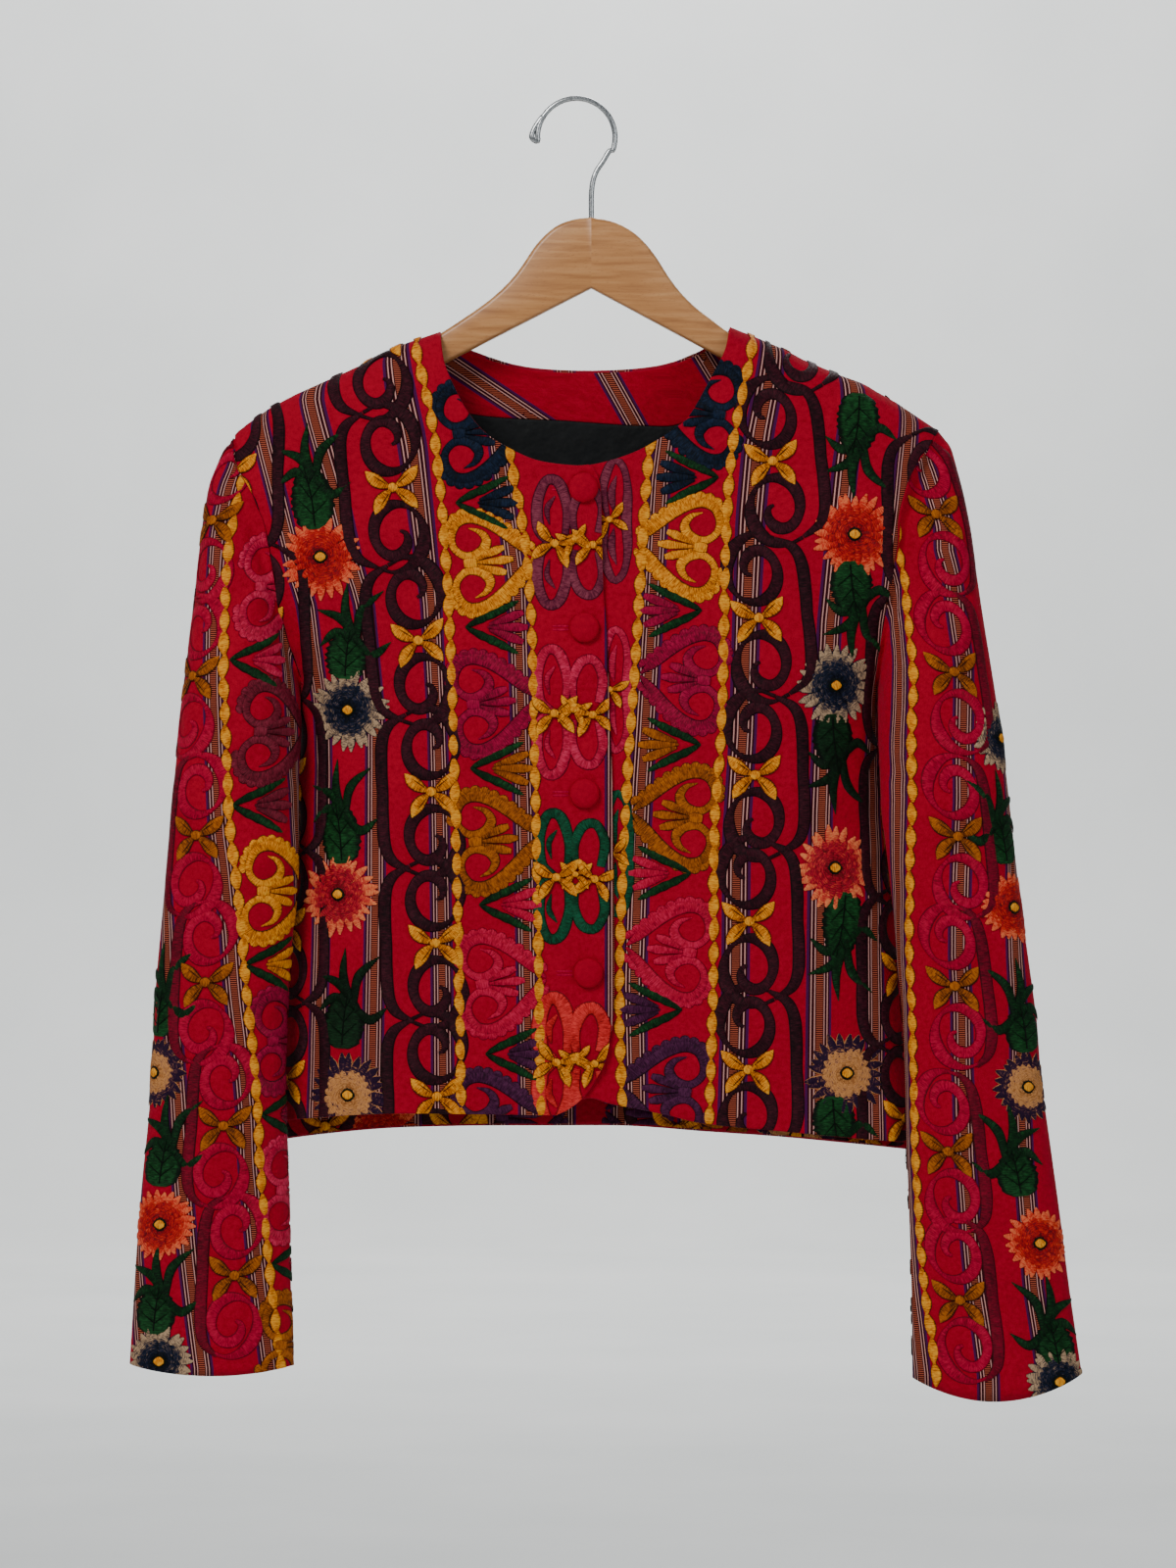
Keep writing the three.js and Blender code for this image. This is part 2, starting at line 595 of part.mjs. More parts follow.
function hanger() {
  const bore = new THREE.CylinderGeometry(WIRE_R + 0.15, WIRE_R + 0.15, BORE_DEEP + 10, 24);
  bore.rotateX(Math.PI / 2);
  bore.translate(9.5, 0, WOOD[0][1] - BORE_DEEP / 2 + 5);
  const wood = prism(WOOD, WOOD_T, WOOD_EDGE).subtract(toManifold(merged(bore)));
  const material = new THREE.MeshStandardMaterial({ color: 0xc09060, roughness: 0.55, metalness: 0 });
  return mesh("hanger_wood", toGeometry(wood), material);
}

function hook() {
  const path = [...HOOK_TIP];
  const [from, to] = [THREE.MathUtils.degToRad(186), THREE.MathUtils.degToRad(-20)];
  for (let i = 0; i <= 26; i++) {
    const turn = mix(from, to, i / 26);
    path.push([HOOK_CENTRE.x + HOOK_R * Math.cos(turn), HOOK_CENTRE.z + HOOK_R * Math.sin(turn)]);
  }
  path.push(...HOOK_STEM);
  const outer = [];
  for (let i = 0; i < path.length; i++) {
    const a = path[Math.max(0, i - 1)];
    const b = path[Math.min(path.length - 1, i + 1)];
    const tangent = new THREE.Vector3(b[0] - a[0], 0, b[1] - a[1]).normalize();
    const across = new THREE.Vector3(-tangent.z, 0, tangent.x);
    const ring = [];
    for (let k = 0; k < 12; k++) {
      const turn = (k / 12) * 2 * Math.PI;
      ring.push(
        new THREE.Vector3(path[i][0], 0, path[i][1])
          .addScaledVector(across, WIRE_R * Math.cos(turn))
          .add(new THREE.Vector3(0, WIRE_R * Math.sin(turn), 0)),
      );
    }
    outer.push(ring);
  }
  const steel = new THREE.MeshStandardMaterial({ color: 0xb8bcc0, roughness: 0.3, metalness: 0.9 });
  return mesh("hanger_hook", rod(outer), steel);
}

// A solid rod through rings of points, with flat ends.
function rod(rings) {
  const n = rings[0].length;
  const points = rings.flat();
  const faces = [];
  const at = (i, k) => i * n + (k % n);
  for (let i = 0; i < rings.length - 1; i++) {
    for (let k = 0; k < n; k++) {
      faces.push(at(i, k), at(i + 1, k), at(i + 1, k + 1), at(i, k), at(i + 1, k + 1), at(i, k + 1));
    }
  }
  for (let k = 1; k < n - 1; k++) {
    faces.push(at(0, 0), at(0, k), at(0, k + 1));
    faces.push(at(rings.length - 1, 0), at(rings.length - 1, k + 1), at(rings.length - 1, k));
  }
  return facingOut(points, faces);
}

const jacket = new THREE.Group();
jacket.name = "cropped_jacket_on_hanger";
jacket.add(frontRight(), frontLeft(), back(), ...backLayers());
jacket.add(sleeve("sleeve_right", ARMHOLE_RIGHT, SLEEVE_RIGHT, CUFF_DROP.right, -1));
jacket.add(sleeve("sleeve_left", ARMHOLE_LEFT, SLEEVE_LEFT, CUFF_DROP.left, 1));
BUTTONS.forEach((_, index) => jacket.add(button(index)));
jacket.add(hanger(), hook());

export default jacket;
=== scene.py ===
"""Looks of a cropped, embroidered jacket that hangs on a wooden hanger.

Garment work is in millimetres, seen from the front: x to the right, z up, s along the cloth.
Blender objects are in metres.
"""
import math

import bpy
import numpy as np
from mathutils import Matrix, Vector
from mathutils.geometry import delaunay_2d_cdt


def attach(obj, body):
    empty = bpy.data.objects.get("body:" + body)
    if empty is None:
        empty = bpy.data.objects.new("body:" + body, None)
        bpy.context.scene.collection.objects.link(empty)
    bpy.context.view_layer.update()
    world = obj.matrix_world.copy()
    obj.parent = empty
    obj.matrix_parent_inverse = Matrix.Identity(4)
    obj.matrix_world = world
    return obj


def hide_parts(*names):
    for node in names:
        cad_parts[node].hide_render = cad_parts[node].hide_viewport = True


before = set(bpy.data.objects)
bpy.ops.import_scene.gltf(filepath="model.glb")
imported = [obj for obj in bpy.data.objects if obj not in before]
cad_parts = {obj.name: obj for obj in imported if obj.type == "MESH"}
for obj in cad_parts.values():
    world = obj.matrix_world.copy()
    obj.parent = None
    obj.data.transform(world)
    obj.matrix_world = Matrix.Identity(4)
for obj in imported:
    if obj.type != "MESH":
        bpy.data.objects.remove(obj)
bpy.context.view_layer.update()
MM = 0.001
rng = np.random.default_rng(7)

# ---- cloth sizes ----------------------------------------------------------

CLOTH = 1.5  # thickness of the outer cloth
LAYER = 0.9  # thickness of the facing, lining and turned-up hem
LAYER_IN = 2.0  # how far inside the back's face those layers start
SEAM = 0.3
LAP = 1.3
LAP_CENTRE, LAP_HALF, LAP_FADE = 12, 24, 60
SIDE_ROUND, TOP_ROUND = 74, 58
MESH_STEP = 3.4  # spacing of the cloth's points
ROW_STEP, ALONG_STEP = 2.0, 1.5  # spacing of the tables that place points on the cloth
BODY_MIDDLE, BACK_MIDDLE, HANGER_MIDDLE = 6.5, 4, 9.5  # x of each middle line
RISE = 0.75  # height of the stitching above the cloth

TOP_LINE = np.array([
    (-230, -228), (-218, -211.5), (-206, -202.8), (-194, -194), (-178, -185.5), (-134, -166),
    (-110, -153.8), (-86, -145), (-40, -134), (6.5, -130), (55, -133), (97, -142.5), (108, -147),
    (120, -152), (132, -157), (144, -163.6), (169, -174), (180, -178), (202, -190.4), (230, -209),
    (250, -222),
])
# z, left seam, right seam, half depth in front, half depth behind, depth of the side seam
BODY = np.array([
    (-130, -238, 256, 23, 22, 0), (-230, -230, 246, 24, 22, 0), (-300, -207, 222, 26, 23, 0),
    (-340, -188, 203, 27, 23, 0), (-356, -180, 195.5, 27.5, 23.5, 0), (-366, -175, 191, 28, 24, 0),
    (-371, -175.0, 191.0, 28, 24, 2.5), (-379, -175.4, 191.4, 28.2, 24.4, 6),
    (-392, -176.4, 193, 28.5, 25, 9), (-416, -176.5, 194, 28.8, 25.5, 10), (-445, -180, 198.5, 29, 26, 11),
    (-480, -183, 203.5, 29, 26.5, 11.5), (-520, -185.5, 208, 29, 27, 12),
    (-600, -190, 215, 29, 28, 11), (-668, -194, 222, 29, 28, 10),
], float)
BODY_COLUMNS = ("z", "left", "right", "front", "back", "seam")

FOLD_FROM, FOLD_TO = -200, -660  # heights that the two x of a fold belong to
# side, x at the top, x at the hem, half width, depth, height where it starts, height of full depth
FOLDS = (
    (-1, -118, -104, 26, 2.4, -300, -560), (-1, -62, -52, 22, -1.6, -360, -600),
    (-1, 74, 86, 24, 2.0, -330, -590), (-1, 138, 160, 26, -2.2, -280, -540),
    (1, -96, -112, 30, 2.6, -290, -580), (1, -10, -4, 26, -2.0, -350, -610),
    (1, 92, 112, 28, 2.2, -320, -600),
)
# side, x0, z0, x1, z1, half width, depth: soft creases, deepest at the middle of their length
CREASES = (
    (-1, -196, -236, -168, -306, 5, -0.9), (-1, -186, -250, -140, -330, 7, 0.8),
    (-1, -176, -372, -120, -398, 6, -0.8), (-1, -172, -400, -134, -440, 7, 0.7),
    (-1, -120, -172, -150, -262, 9, -0.7), (-1, 150, -190, 172, -280, 9, -0.8),
    (-1, 206, -240, 178, -310, 5, 0.9), (-1, 190, -384, 138, -408, 6, -0.9),
    (-1, 192, -410, 150, -462, 7, 0.7), (-1, -40, -600, -36, -520, 6, -0.5),
    (-1, 62, -300, 70, -420, 12, 0.6), (-1, -104, -470, -110, -600, 10, -0.6),
    (-1, 118, -480, 128, -620, 11, 0.7), (-1, -150, -560, -158, -640, 7, 0.7),
    (1, -180, -250, -130, -330, 8, 0.9), (1, 188, -250, 140, -340, 8, -0.9),
    (1, -60, -190, -80, -300, 11, 0.8), (1, 70, -200, 92, -310, 12, -0.7),
    (1, -150, -400, -90, -440, 9, 0.9), (1, 160, -410, 96, -452, 9, 0.8),
    (1, -30, -470, -40, -620, 12, 0.8), (1, 44, -500, 60, -640, 10, -0.8),
)

# ---- outlines of the cut pieces, as (x, z) --------------------------------

NECK_FRONT_RIGHT = [
    (-86, -146), (-83.2, -166), (-76.9, -181.7), (-68.8, -197.2), (-57, -211.4),
    (-41.5, -221.3), (-24.2, -228.8), (-1.9, -231.9), (9.3, -231.3),
]
NECK_FRONT_LEFT = [
    (-13, -231.6), (9.9, -231.3), (38.4, -222.6), (63.9, -207.1), (72.5, -198.4),
    (84.9, -176.1), (93.6, -158.7), (96.7, -144.5),
]
NECK_BACK = [
    (-86, -146), (-76, -152), (-65.7, -157), (-32.9, -166.4), (9.9, -168.9),
    (52, -165.8), (79.4, -156.4), (90, -149.4), (96.7, -144.5),
]
ARMHOLE_RIGHT = [
    (-215.8, -213.9), (-213.9, -231.3), (-205.2, -246.1), (-200, -259), (-195.3, -272.2),
    (-189.7, -303.8), (-187.9, -318.1), (-182, -341), (-177, -356), (-172.6, -369),
]
ARMHOLE_LEFT = [
    (228.5, -208.9), (221.3, -220.7), (211.4, -235.6), (207.1, -246.8), (202.7, -264.1),
    (202.1, -281.5), (198, -306.9), (193.5, -332), (190.5, -352), (188.7, -369),
]
FRONT_EDGE_RIGHT = [
    (9.3, -231.3), (14.9, -243.7), (16.1, -279), (17, -308.8), (19.5, -343.5), (20.5, -379.4),
    (22, -414.8), (23.2, -462.5), (23.6, -520.2), (23.6, -570.4), (19.2, -602), (13, -616.3),
    (5.6, -627.4), (-4, -635.5), (-13, -639.8),
]
HEM_FRONT_RIGHT = [(-13, -639.8), (-60, -639.2), (-110, -638.5), (-150, -640.5), (-191, -645)]
HEM_FRONT_LEFT = [
    (-13, -634), (8, -629), (20.5, -632.5), (33.5, -635), (58.3, -640), (81.2, -645),
    (140, -651), (220, -659),
]
HEM_BACK = [
    (-193, -659.5), (-181.7, -657), (-129, -652), (-76.9, -650), (-24.8, -649.6),
    (32.2, -649.8), (83.7, -653.6), (131.4, -657), (169.3, -660.4), (221, -665),
]
FACING_LOW = [(-130, -172), (-110, -178), (-68.2, -196), (-4.3, -200.9), (45.3, -204),
              (70, -201.5), (118, -180), (140, -172)]
TURN_UP_TOP = [(-186, -622), (-60, -614), (60, -614), (212, -628)]

# Sleeve rings: outer x and z, inner x and z, half depth, depth of the middle.
SLEEVE_RIGHT = [
    (-222.6, -222, -174.3, -370.6, 17, 0), (-227.5, -233, -174.5, -373.4, 21, -1),
    (-231.9, -246, -174.2, -377, 23.5, -2.2), (-235.5, -268, -174.2, -383, 25, -5),
    (-238.1, -293.3, -174.2, -391, 25.5, -8), (-240.8, -320, -174.2, -402, 25.5, -11),
    (-244.2, -349, -174.4, -416, 25.5, -14), (-248, -381, -174.6, -433, 25, -15.5),
    (-251.6, -415, -174.6, -452, 24.5, -16.5), (-254.6, -446, -174.6, -468, 24, -17.5),
    (-257.3, -480, -175.6, -492, 23.5, -18), (-261, -520, -178, -524, 23, -18.5),
    (-264.5, -560, -181, -560, 22, -19), (-266.2, -600, -182.9, -600, 21, -19.5),
    (-268.8, -640, -182.6, -640, 20, -20), (-272.8, -680, -181.3, -680, 19, -20),
    (-276, -720, -180, -720, 18, -21), (-278.4, -760, -179, -760, 17, -22),
    (-280.6, -796, -178, -797, 15.5, -22.5),
]
SLEEVE_LEFT = [
    (233, -214, 190.2, -370.6, 17, 0), (236.8, -219.5, 190.3, -373.2, 21, -1),
    (240.4, -232, 190.6, -377, 23.5, -2.2), (244.6, -249, 190.4, -383, 25, -5),
    (248.4, -270, 190.4, -391, 25.5, -8), (252.3, -299, 190.4, -402, 25.5, -11),
    (256.4, -328, 190.8, -416, 25.5, -14), (261, -357, 191.4, -433, 25, -15.5),
    (266, -390, 192.2, -452, 24.5, -16.5), (270.3, -424, 194.6, -470, 24, -17.5),
    (274.5, -462, 197, -491, 23.5, -18), (279, -503, 200, -518, 23, -18.5),
    (284, -539, 202, -546, 22, -19), (289.5, -580, 205, -578, 21, -19.5),
    (292.4, -617, 206.6, -617, 20, -20), (298, -658, 207.8, -660, 19, -20),
    (304.4, -705, 209.4, -705, 18, -21), (309.8, -748, 210.8, -752, 17, -22),
    (317.6, -802, 211.3, -805, 15.5, -22.5),
]
SEAM_SHAPE = (0.8, 0.55, 0.34, 0.18, 0.08)
CUFF_DROP_RIGHT, CUFF_DROP_LEFT = 6, 15
# x0, z0, x1, z1, half width, depth, half of the sleeve (-1 front, 1 back)
SLEEVE_CREASES_RIGHT = (
    (-176, -414, -206, -440, 6, 3.0, -1), (-178, -434, -214, -430, 5, -2.2, -1),
    (-200, -262, -214, -330, 7, -1.4, -1), (-232, -250, -224, -330, 8, 1.2, -1),
    (-182, -470, -220, -500, 8, 1.2, -1), (-256, -470, -214, -520, 9, -1.1, -1),
    (-186, -560, -236, -600, 9, -1.0, -1), (-190, -640, -262, -690, 10, 1.2, -1),
    (-226, -690, -222, -775, 8, -0.9, -1), (-180, -410, -240, -450, 8, 2.0, 1),
    (-186, -520, -250, -560, 9, -1.6, 1), (-200, -640, -262, -700, 10, 1.4, 1),
)
SLEEVE_CREASES_LEFT = (
    (194, -408, 226, -436, 6, 2.2, -1), (194, -430, 236, -432, 5, -1.8, -1),
    (210, -262, 216, -340, 7, -1.4, -1), (244, -250, 232, -320, 8, 1.3, -1),
    (200, -480, 250, -520, 8, 1.4, -1), (278, -500, 236, -560, 9, -1.3, -1),
    (210, -600, 262, -630, 9, 1.2, -1), (216, -690, 290, -730, 10, -1.2, -1),
    (250, -720, 256, -795, 8, 1.0, -1), (200, -420, 258, -450, 8, 2.0, 1),
    (206, -540, 276, -580, 9, -1.6, 1), (220, -660, 296, -720, 10, 1.5, 1),
)


# ---- small maths ----------------------------------------------------------

def smooth(t):
    t = np.clip(t, 0, 1)
    return t * t * (3 - 2 * t)


def bulge(t):
    """A quarter of an ellipse, from 0 to 1."""
    return np.sqrt(1 - (1 - np.clip(t, 0, 1)) ** 2)


def level(name, z):
    """One column of the body's table at heights z."""
    column = BODY[:, BODY_COLUMNS.index(name)]
    i = np.clip(np.searchsorted(-BODY[:, 0], -z, side="right") - 1, 0, len(BODY) - 2)
    t = smooth((z - BODY[i, 0]) / (BODY[i + 1, 0] - BODY[i, 0]))
    return column[i] + (column[i + 1] - column[i]) * t


def curve(points, step=3.0, closed=False):
    """A smooth line through the points, with its own points about step apart."""
    p = np.array(points, float)
    if closed:
        ends = np.vstack([p[-1], p, p[0], p[1]])
    else:
        ends = np.vstack([2 * p[0] - p[1], p, 2 * p[-1] - p[-2]])
    made = []
    for a, b, c, d in zip(ends[:-3], ends[1:-2], ends[2:-1], ends[3:]):
        n = max(2, int(math.ceil(np.linalg.norm(c - b) / step)))
        t = np.linspace(0, 1, n, endpoint=False)[:, None]
        made.append(0.5 * (2 * b + (c - a) * t + (2 * a - 5 * b + 4 * c - d) * t ** 2
                           + (3 * b - a - 3 * c + d) * t ** 3))
    if not closed:
        made.append(p[-1:])
    return np.vstack(made)


def even(points, step=3.0):
    """The same line with points every step."""
    p = np.array(points, float)
    along = np.r_[0, np.cumsum(np.linalg.norm(np.diff(p, axis=0), axis=1))]
    n = max(2, int(round(along[-1] / step)) + 1)
    at = np.linspace(0, along[-1], n)
    return np.column_stack([np.interp(at, along, p[:, k]) for k in range(p.shape[1])])


class Outline:
    """A closed line in cloth coordinates."""

    def __init__(self, points):
        self.points = np.array(points, float)
        self.ends = np.roll(self.points, -1, axis=0)

    def inside(self, p):
        odd = np.zeros(len(p), bool)
        for (x0, y0), (x1, y1) in zip(self.points, self.ends):
            if y0 == y1:
                continue
            crosses = (y0 > p[:, 1]) != (y1 > p[:, 1])
            odd ^= crosses & (p[:, 0] < (x1 - x0) * (p[:, 1] - y0) / (y1 - y0) + x0)
        return odd

    def turning(self):
        """Above zero where the line runs anticlockwise."""
        return ((self.points * self.ends[:, ::-1]) @ (1, -1)).sum()

    def nearest(self, p):
        """The closest point of the line to each point, and how far it is."""
        best, found = np.full(len(p), np.inf), np.zeros_like(p)
        for a, b in zip(self.points, self.ends):
            d = b - a
            t = np.clip(((p - a) @ d) / max(d @ d, 1e-12), 0, 1)
            q = a + t[:, None] * d
            far = np.linalg.norm(p - q, axis=1)
            closer = far < best
            best[closer], found[closer] = far[closer], q[closer]
        return found, best


# ---- the garment's surfaces -----------------------------------------------

def body_depth(side, x, z):
    """Depth of the front (side -1) or back (side 1) where it lies at (x, z)."""
    left, right, seam = level("left", z), level("right", z), level("seam", z)
    rim = np.minimum(x - left, right - x)
    down = bulge((np.interp(x, TOP_LINE[:, 0], TOP_LINE[:, 1]) - z) / TOP_ROUND)
    power = 1 + 0.3 * smooth((-372 - z) / 60)
    across = bulge(rim / SIDE_ROUND) ** power
    deep = level("front" if side < 0 else "back", z) - side * seam
    for which, x0, x1, half, fold, top, full in FOLDS:
        if which == side:
            away = (x - (x0 + (x1 - x0) * (z - FOLD_FROM) / (FOLD_TO - FOLD_FROM))) / half
            deep = deep + fold * smooth((top - z) / (top - full)) * np.exp(-away ** 2)
    for which, x0, z0, x1, z1, half, fold in CREASES:
        if which == side:
            deep = deep + fold * crease(x, z, x0, z0, x1, z1, half)
    return seam * down + side * deep * across * down + side * SEAM / 2


def crease(x, z, x0, z0, x1, z1, half):
    """From 0 to 1: how deep in a soft crease a place is."""
    dx, dz = x1 - x0, z1 - z0
    size = math.hypot(dx, dz)
    along = ((x - x0) * dx + (z - z0) * dz) / size
    off = ((x - x0) * dz - (z - z0) * dx) / size
    beyond = np.maximum(np.maximum(-along, along - size), 0)
    ends = smooth(along / (size * 0.35)) * smooth((size - along) / (size * 0.35))
    return np.exp(-(off / half) ** 2) * ends * np.exp(-(beyond / half) ** 2)


class BodySurface:
    """Front or back of the body; s runs along the cloth from the middle to the right."""

    def __init__(self, side, lap=0.0):
        self.side, self.lap = side, lap
        self.heights = np.arange(-126.0, -680.0, -ROW_STEP)
        self.spread = np.arange(-330.0, 350.0, ALONG_STEP)
        turn = np.sin(np.linspace(-1, 1, 181) * math.pi / 2)
        self.x = np.zeros((len(self.heights), len(self.spread)))
        for i, z in enumerate(self.heights):
            left, right = level("left", z), level("right", z)
            x = (left + right) / 2 + (right - left) / 2 * turn
            y = self.depth(x, np.full_like(x, z))
            s = np.r_[0, np.cumsum(np.hypot(np.diff(x), np.diff(y)))]
            self.x[i] = np.interp(self.spread, s - np.interp(BODY_MIDDLE, x, s), x)

    def depth(self, x, z):
        shift = self.lap * LAP * (1 - smooth((np.abs(x - LAP_CENTRE) - LAP_HALF) / LAP_FADE))
        return body_depth(self.side, x, z) + shift

    def s_of(self, points):
        """Cloth coordinates of places given as (x, z)."""
        made = []
        for x, z in points:
            row = self.x[int(np.clip(round((self.heights[0] - z) / ROW_STEP), 0, len(self.x) - 1))]
            keep = np.r_[True, np.diff(row) > 1e-9]
            made.append((np.interp(x, row[keep], self.spread[keep]), z))
        return np.array(made)

    def place(self, s, z, h):
        i = np.clip((self.heights[0] - z) / ROW_STEP, 0, len(self.heights) - 1.001)
        j = np.clip((s - self.spread[0]) / ALONG_STEP, 0, len(self.spread) - 1.001)
        i0, j0 = i.astype(int), j.astype(int)
        fi, fj = i - i0, j - j0
        x = ((self.x[i0, j0] * (1 - fj) + self.x[i0, j0 + 1] * fj) * (1 - fi)
             + (self.x[i0 + 1, j0] * (1 - fj) + self.x[i0 + 1, j0 + 1] * fj) * fi)
        y = self.depth(x, z)
        e = 0.6
        sx = (self.depth(x + e, z) - self.depth(x - e, z)) / (2 * e)
        sz = (self.depth(x, z + e) - self.depth(x, z - e)) / (2 * e)
        normal = np.column_stack([-sx, np.ones_like(x), -sz]) * self.side
        normal /= np.linalg.norm(normal, axis=1)[:, None]
        return np.column_stack([x, y, z]) + normal * np.asarray(h)[..., None]


class SleeveSurface:
    """One sleeve; s runs from the outer fold to the inner one in front, and below 0 behind."""

    AROUND, ROWS = 168, 150

    def __init__(self, armhole, table, drop, creases, outward):
        arm = even(curve(armhole, 2), 0.5)
        turn = np.arange(self.AROUND) / self.AROUND * 2 * math.pi
        share = (1 - np.cos(turn)) / 2
        side = np.where(np.sin(turn) >= 0, -1, 1)
        at = share * (len(arm) - 1)
        k = np.minimum(at.astype(int), len(arm) - 2)
        hole = arm[k] + (arm[k + 1] - arm[k]) * (at - k)[:, None]
        front = body_depth(-1, hole[:, 0], hole[:, 1]) + SEAM / 2
        behind = body_depth(1, hole[:, 0], hole[:, 1]) - SEAM / 2
        first = np.column_stack([hole[:, 0] + outward * 0.8 * SEAM,
                                 np.where(side < 0, front, behind), hole[:, 1]])
        bend = hole - (arm[0] + (arm[-1] - arm[0]) * share[:, None])
        rings = [first]
        for n, (xo, zo, xi, zi, half, mid) in enumerate(table):
            keep = SEAM_SHAPE[n] if n < len(SEAM_SHAPE) else 0
            sag = drop * float(smooth((n - 14) / 6)) if n < len(table) - 1 else drop
            deep = np.sign(np.sin(turn)) * np.abs(np.sin(turn)) ** (0.85 + 0.35 * share)
            rings.append(np.column_stack([
                xo + (xi - xo) * share + keep * bend[:, 0], mid - half * deep,
                zo + (zi - zo) * share + keep * bend[:, 1] - sag * np.sin(turn) ** 2]))
        rings = np.array(rings)
        flat = np.vstack([curve_at(rings, r) for r in np.linspace(0, len(rings) - 1, self.ROWS)])
        grid = flat.reshape(self.ROWS, self.AROUND, 3)
        room = np.abs(np.sin(turn)) ** 0.7
        for x0, z0, x1, z1, half, deep, which in creases:
            fold = crease(grid[..., 0], grid[..., 2], x0, z0, x1, z1, half) * deep * room
            grid[..., 1] += np.where(side == which, fold * which, 0)
        self.grid = grid
        self.normals = grid_normals(grid)
        self.tables()

    def tables(self):
        """Sections at even heights, as points at even distances along the cloth."""
        half = self.AROUND // 2
        self.heights = np.arange(-206.0, -822.0, -ROW_STEP)
        self.spread = np.arange(-190.0, 191.0, ALONG_STEP)
        columns = np.r_[np.arange(half, self.AROUND), np.arange(0, half + 1)]
        self.hit = np.zeros((len(self.heights), len(columns), 6))
        both = np.concatenate([self.grid, self.normals], axis=2)
        for c, k in enumerate(columns):
            line = both[::-1, k % self.AROUND]
            for axis in range(6):
                self.hit[:, c, axis] = np.interp(self.heights, line[:, 2], line[:, axis])
        self.hit[:, :, 2] = self.heights[:, None]
        steps = np.linalg.norm(np.diff(self.hit[:, :, :2], axis=1), axis=2)
        self.length = np.concatenate([np.zeros((len(self.heights), 1)), np.cumsum(steps, 1)], 1)
        self.length -= self.length[:, half:half + 1]
        self.columns, self.half = columns, half
        self.table = np.zeros((len(self.heights), len(self.spread), 6))
        for i in range(len(self.heights)):
            s = self.length[i] + np.arange(len(columns)) * 1e-6
            for axis in range(6):
                self.table[i, :, axis] = np.interp(self.spread, s, self.hit[i, :, axis])

    def s_of(self, points, side=-1):
        """Cloth coordinates of places given as (x, z) on the front or the back."""
        made = []
        for x, z in points:
            i = int(np.clip(round((self.heights[0] - z) / ROW_STEP), 0, len(self.heights) - 1))
            part = slice(self.half, None) if side < 0 else slice(0, self.half + 1)
            xs, s = self.hit[i, part, 0], self.length[i, part]
            order = np.argsort(xs)
            made.append((np.interp(x, xs[order], s[order]), z))
        return np.array(made)

    def ring_line(self, row):
        """A ring of the grid as cloth coordinates, from behind round to the front."""
        made = []
        for c, k in enumerate(self.columns):
            z = self.grid[row, k % self.AROUND, 2]
            i = np.clip((self.heights[0] - z) / ROW_STEP, 0, len(self.heights) - 1.001)
            i0 = int(i)
            s = self.length[i0, c] * (1 - (i - i0)) + self.length[i0 + 1, c] * (i - i0)
            made.append((s, z))
        return np.array(made)

    def outline(self):
        top, foot = self.ring_line(0), self.ring_line(-1)
        rows = range(1, self.ROWS - 1)
        half = self.half
        inner = [self.grid[r, half, 2] for r in rows]
        i = [(self.heights[0] - z) / ROW_STEP for z in inner]
        behind = [np.interp(v, np.arange(len(self.heights)), self.length[:, 0]) for v in i]
        ahead = [np.interp(v, np.arange(len(self.heights)), self.length[:, -1]) for v in i]
        down = list(zip(ahead, inner))[4:]
        up = list(zip(behind, inner))[4:][::-1]
        return Outline(np.vstack([top, down, foot[::-1], up]))

    def place(self, s, z, h):
        i = np.clip((self.heights[0] - z) / ROW_STEP, 0, len(self.heights) - 1.001)
        j = np.clip((s - self.spread[0]) / ALONG_STEP, 0, len(self.spread) - 1.001)
        i0, j0 = i.astype(int), j.astype(int)
        fi, fj = (i - i0)[:, None], (j - j0)[:, None]
        t = self.table
        both = ((t[i0, j0] * (1 - fj) + t[i0, j0 + 1] * fj) * (1 - fi)
                + (t[i0 + 1, j0] * (1 - fj) + t[i0 + 1, j0 + 1] * fj) * fi)
        normal = both[:, 3:]
        normal = normal / np.maximum(np.linalg.norm(normal, axis=1), 1e-6)[:, None]
        return both[:, :3] + normal * np.asarray(h)[..., None]


def curve_at(rings, r):
    """A smooth ring between the given rings, at row r."""
    n = len(rings)
    i = min(int(r), n - 2)
    t = r - i
    b, c = rings[i], rings[i + 1]
    a = rings[i - 1] if i > 0 else 2 * b - c
    d = rings[i + 2] if i + 2 < n else 2 * c - b
    made = 0.5 * (2 * b + (c - a) * t + (2 * a - 5 * b + 4 * c - d) * t ** 2
                  + (3 * b - a - 3 * c + d) * t ** 3)
    return made.reshape(1, -1)


def grid_normals(grid):
    """Unit normals of a ring grid, pointing out of the tube."""
    round_it = np.roll(grid, -1, axis=1) - np.roll(grid, 1, axis=1)
    down = np.gradient(grid, axis=0)
    normal = np.cross(round_it, down)
    normal /= np.maximum(np.linalg.norm(normal, axis=2), 1e-9)[..., None]
    centre = grid.mean(axis=1, keepdims=True)
    if ((grid - centre) * normal).sum(axis=2).mean() < 0:
        normal = -normal
    return normal


# ---- materials ------------------------------------------------------------

def colour(text):
    """Linear colour from six hexadecimal digits."""
    made = []
    for k in (0, 2, 4):
        v = int(text[k:k + 2], 16) / 255
        made.append(v / 12.92 if v <= 0.04045 else ((v + 0.055) / 1.055) ** 2.4)
    return (*made, 1.0)


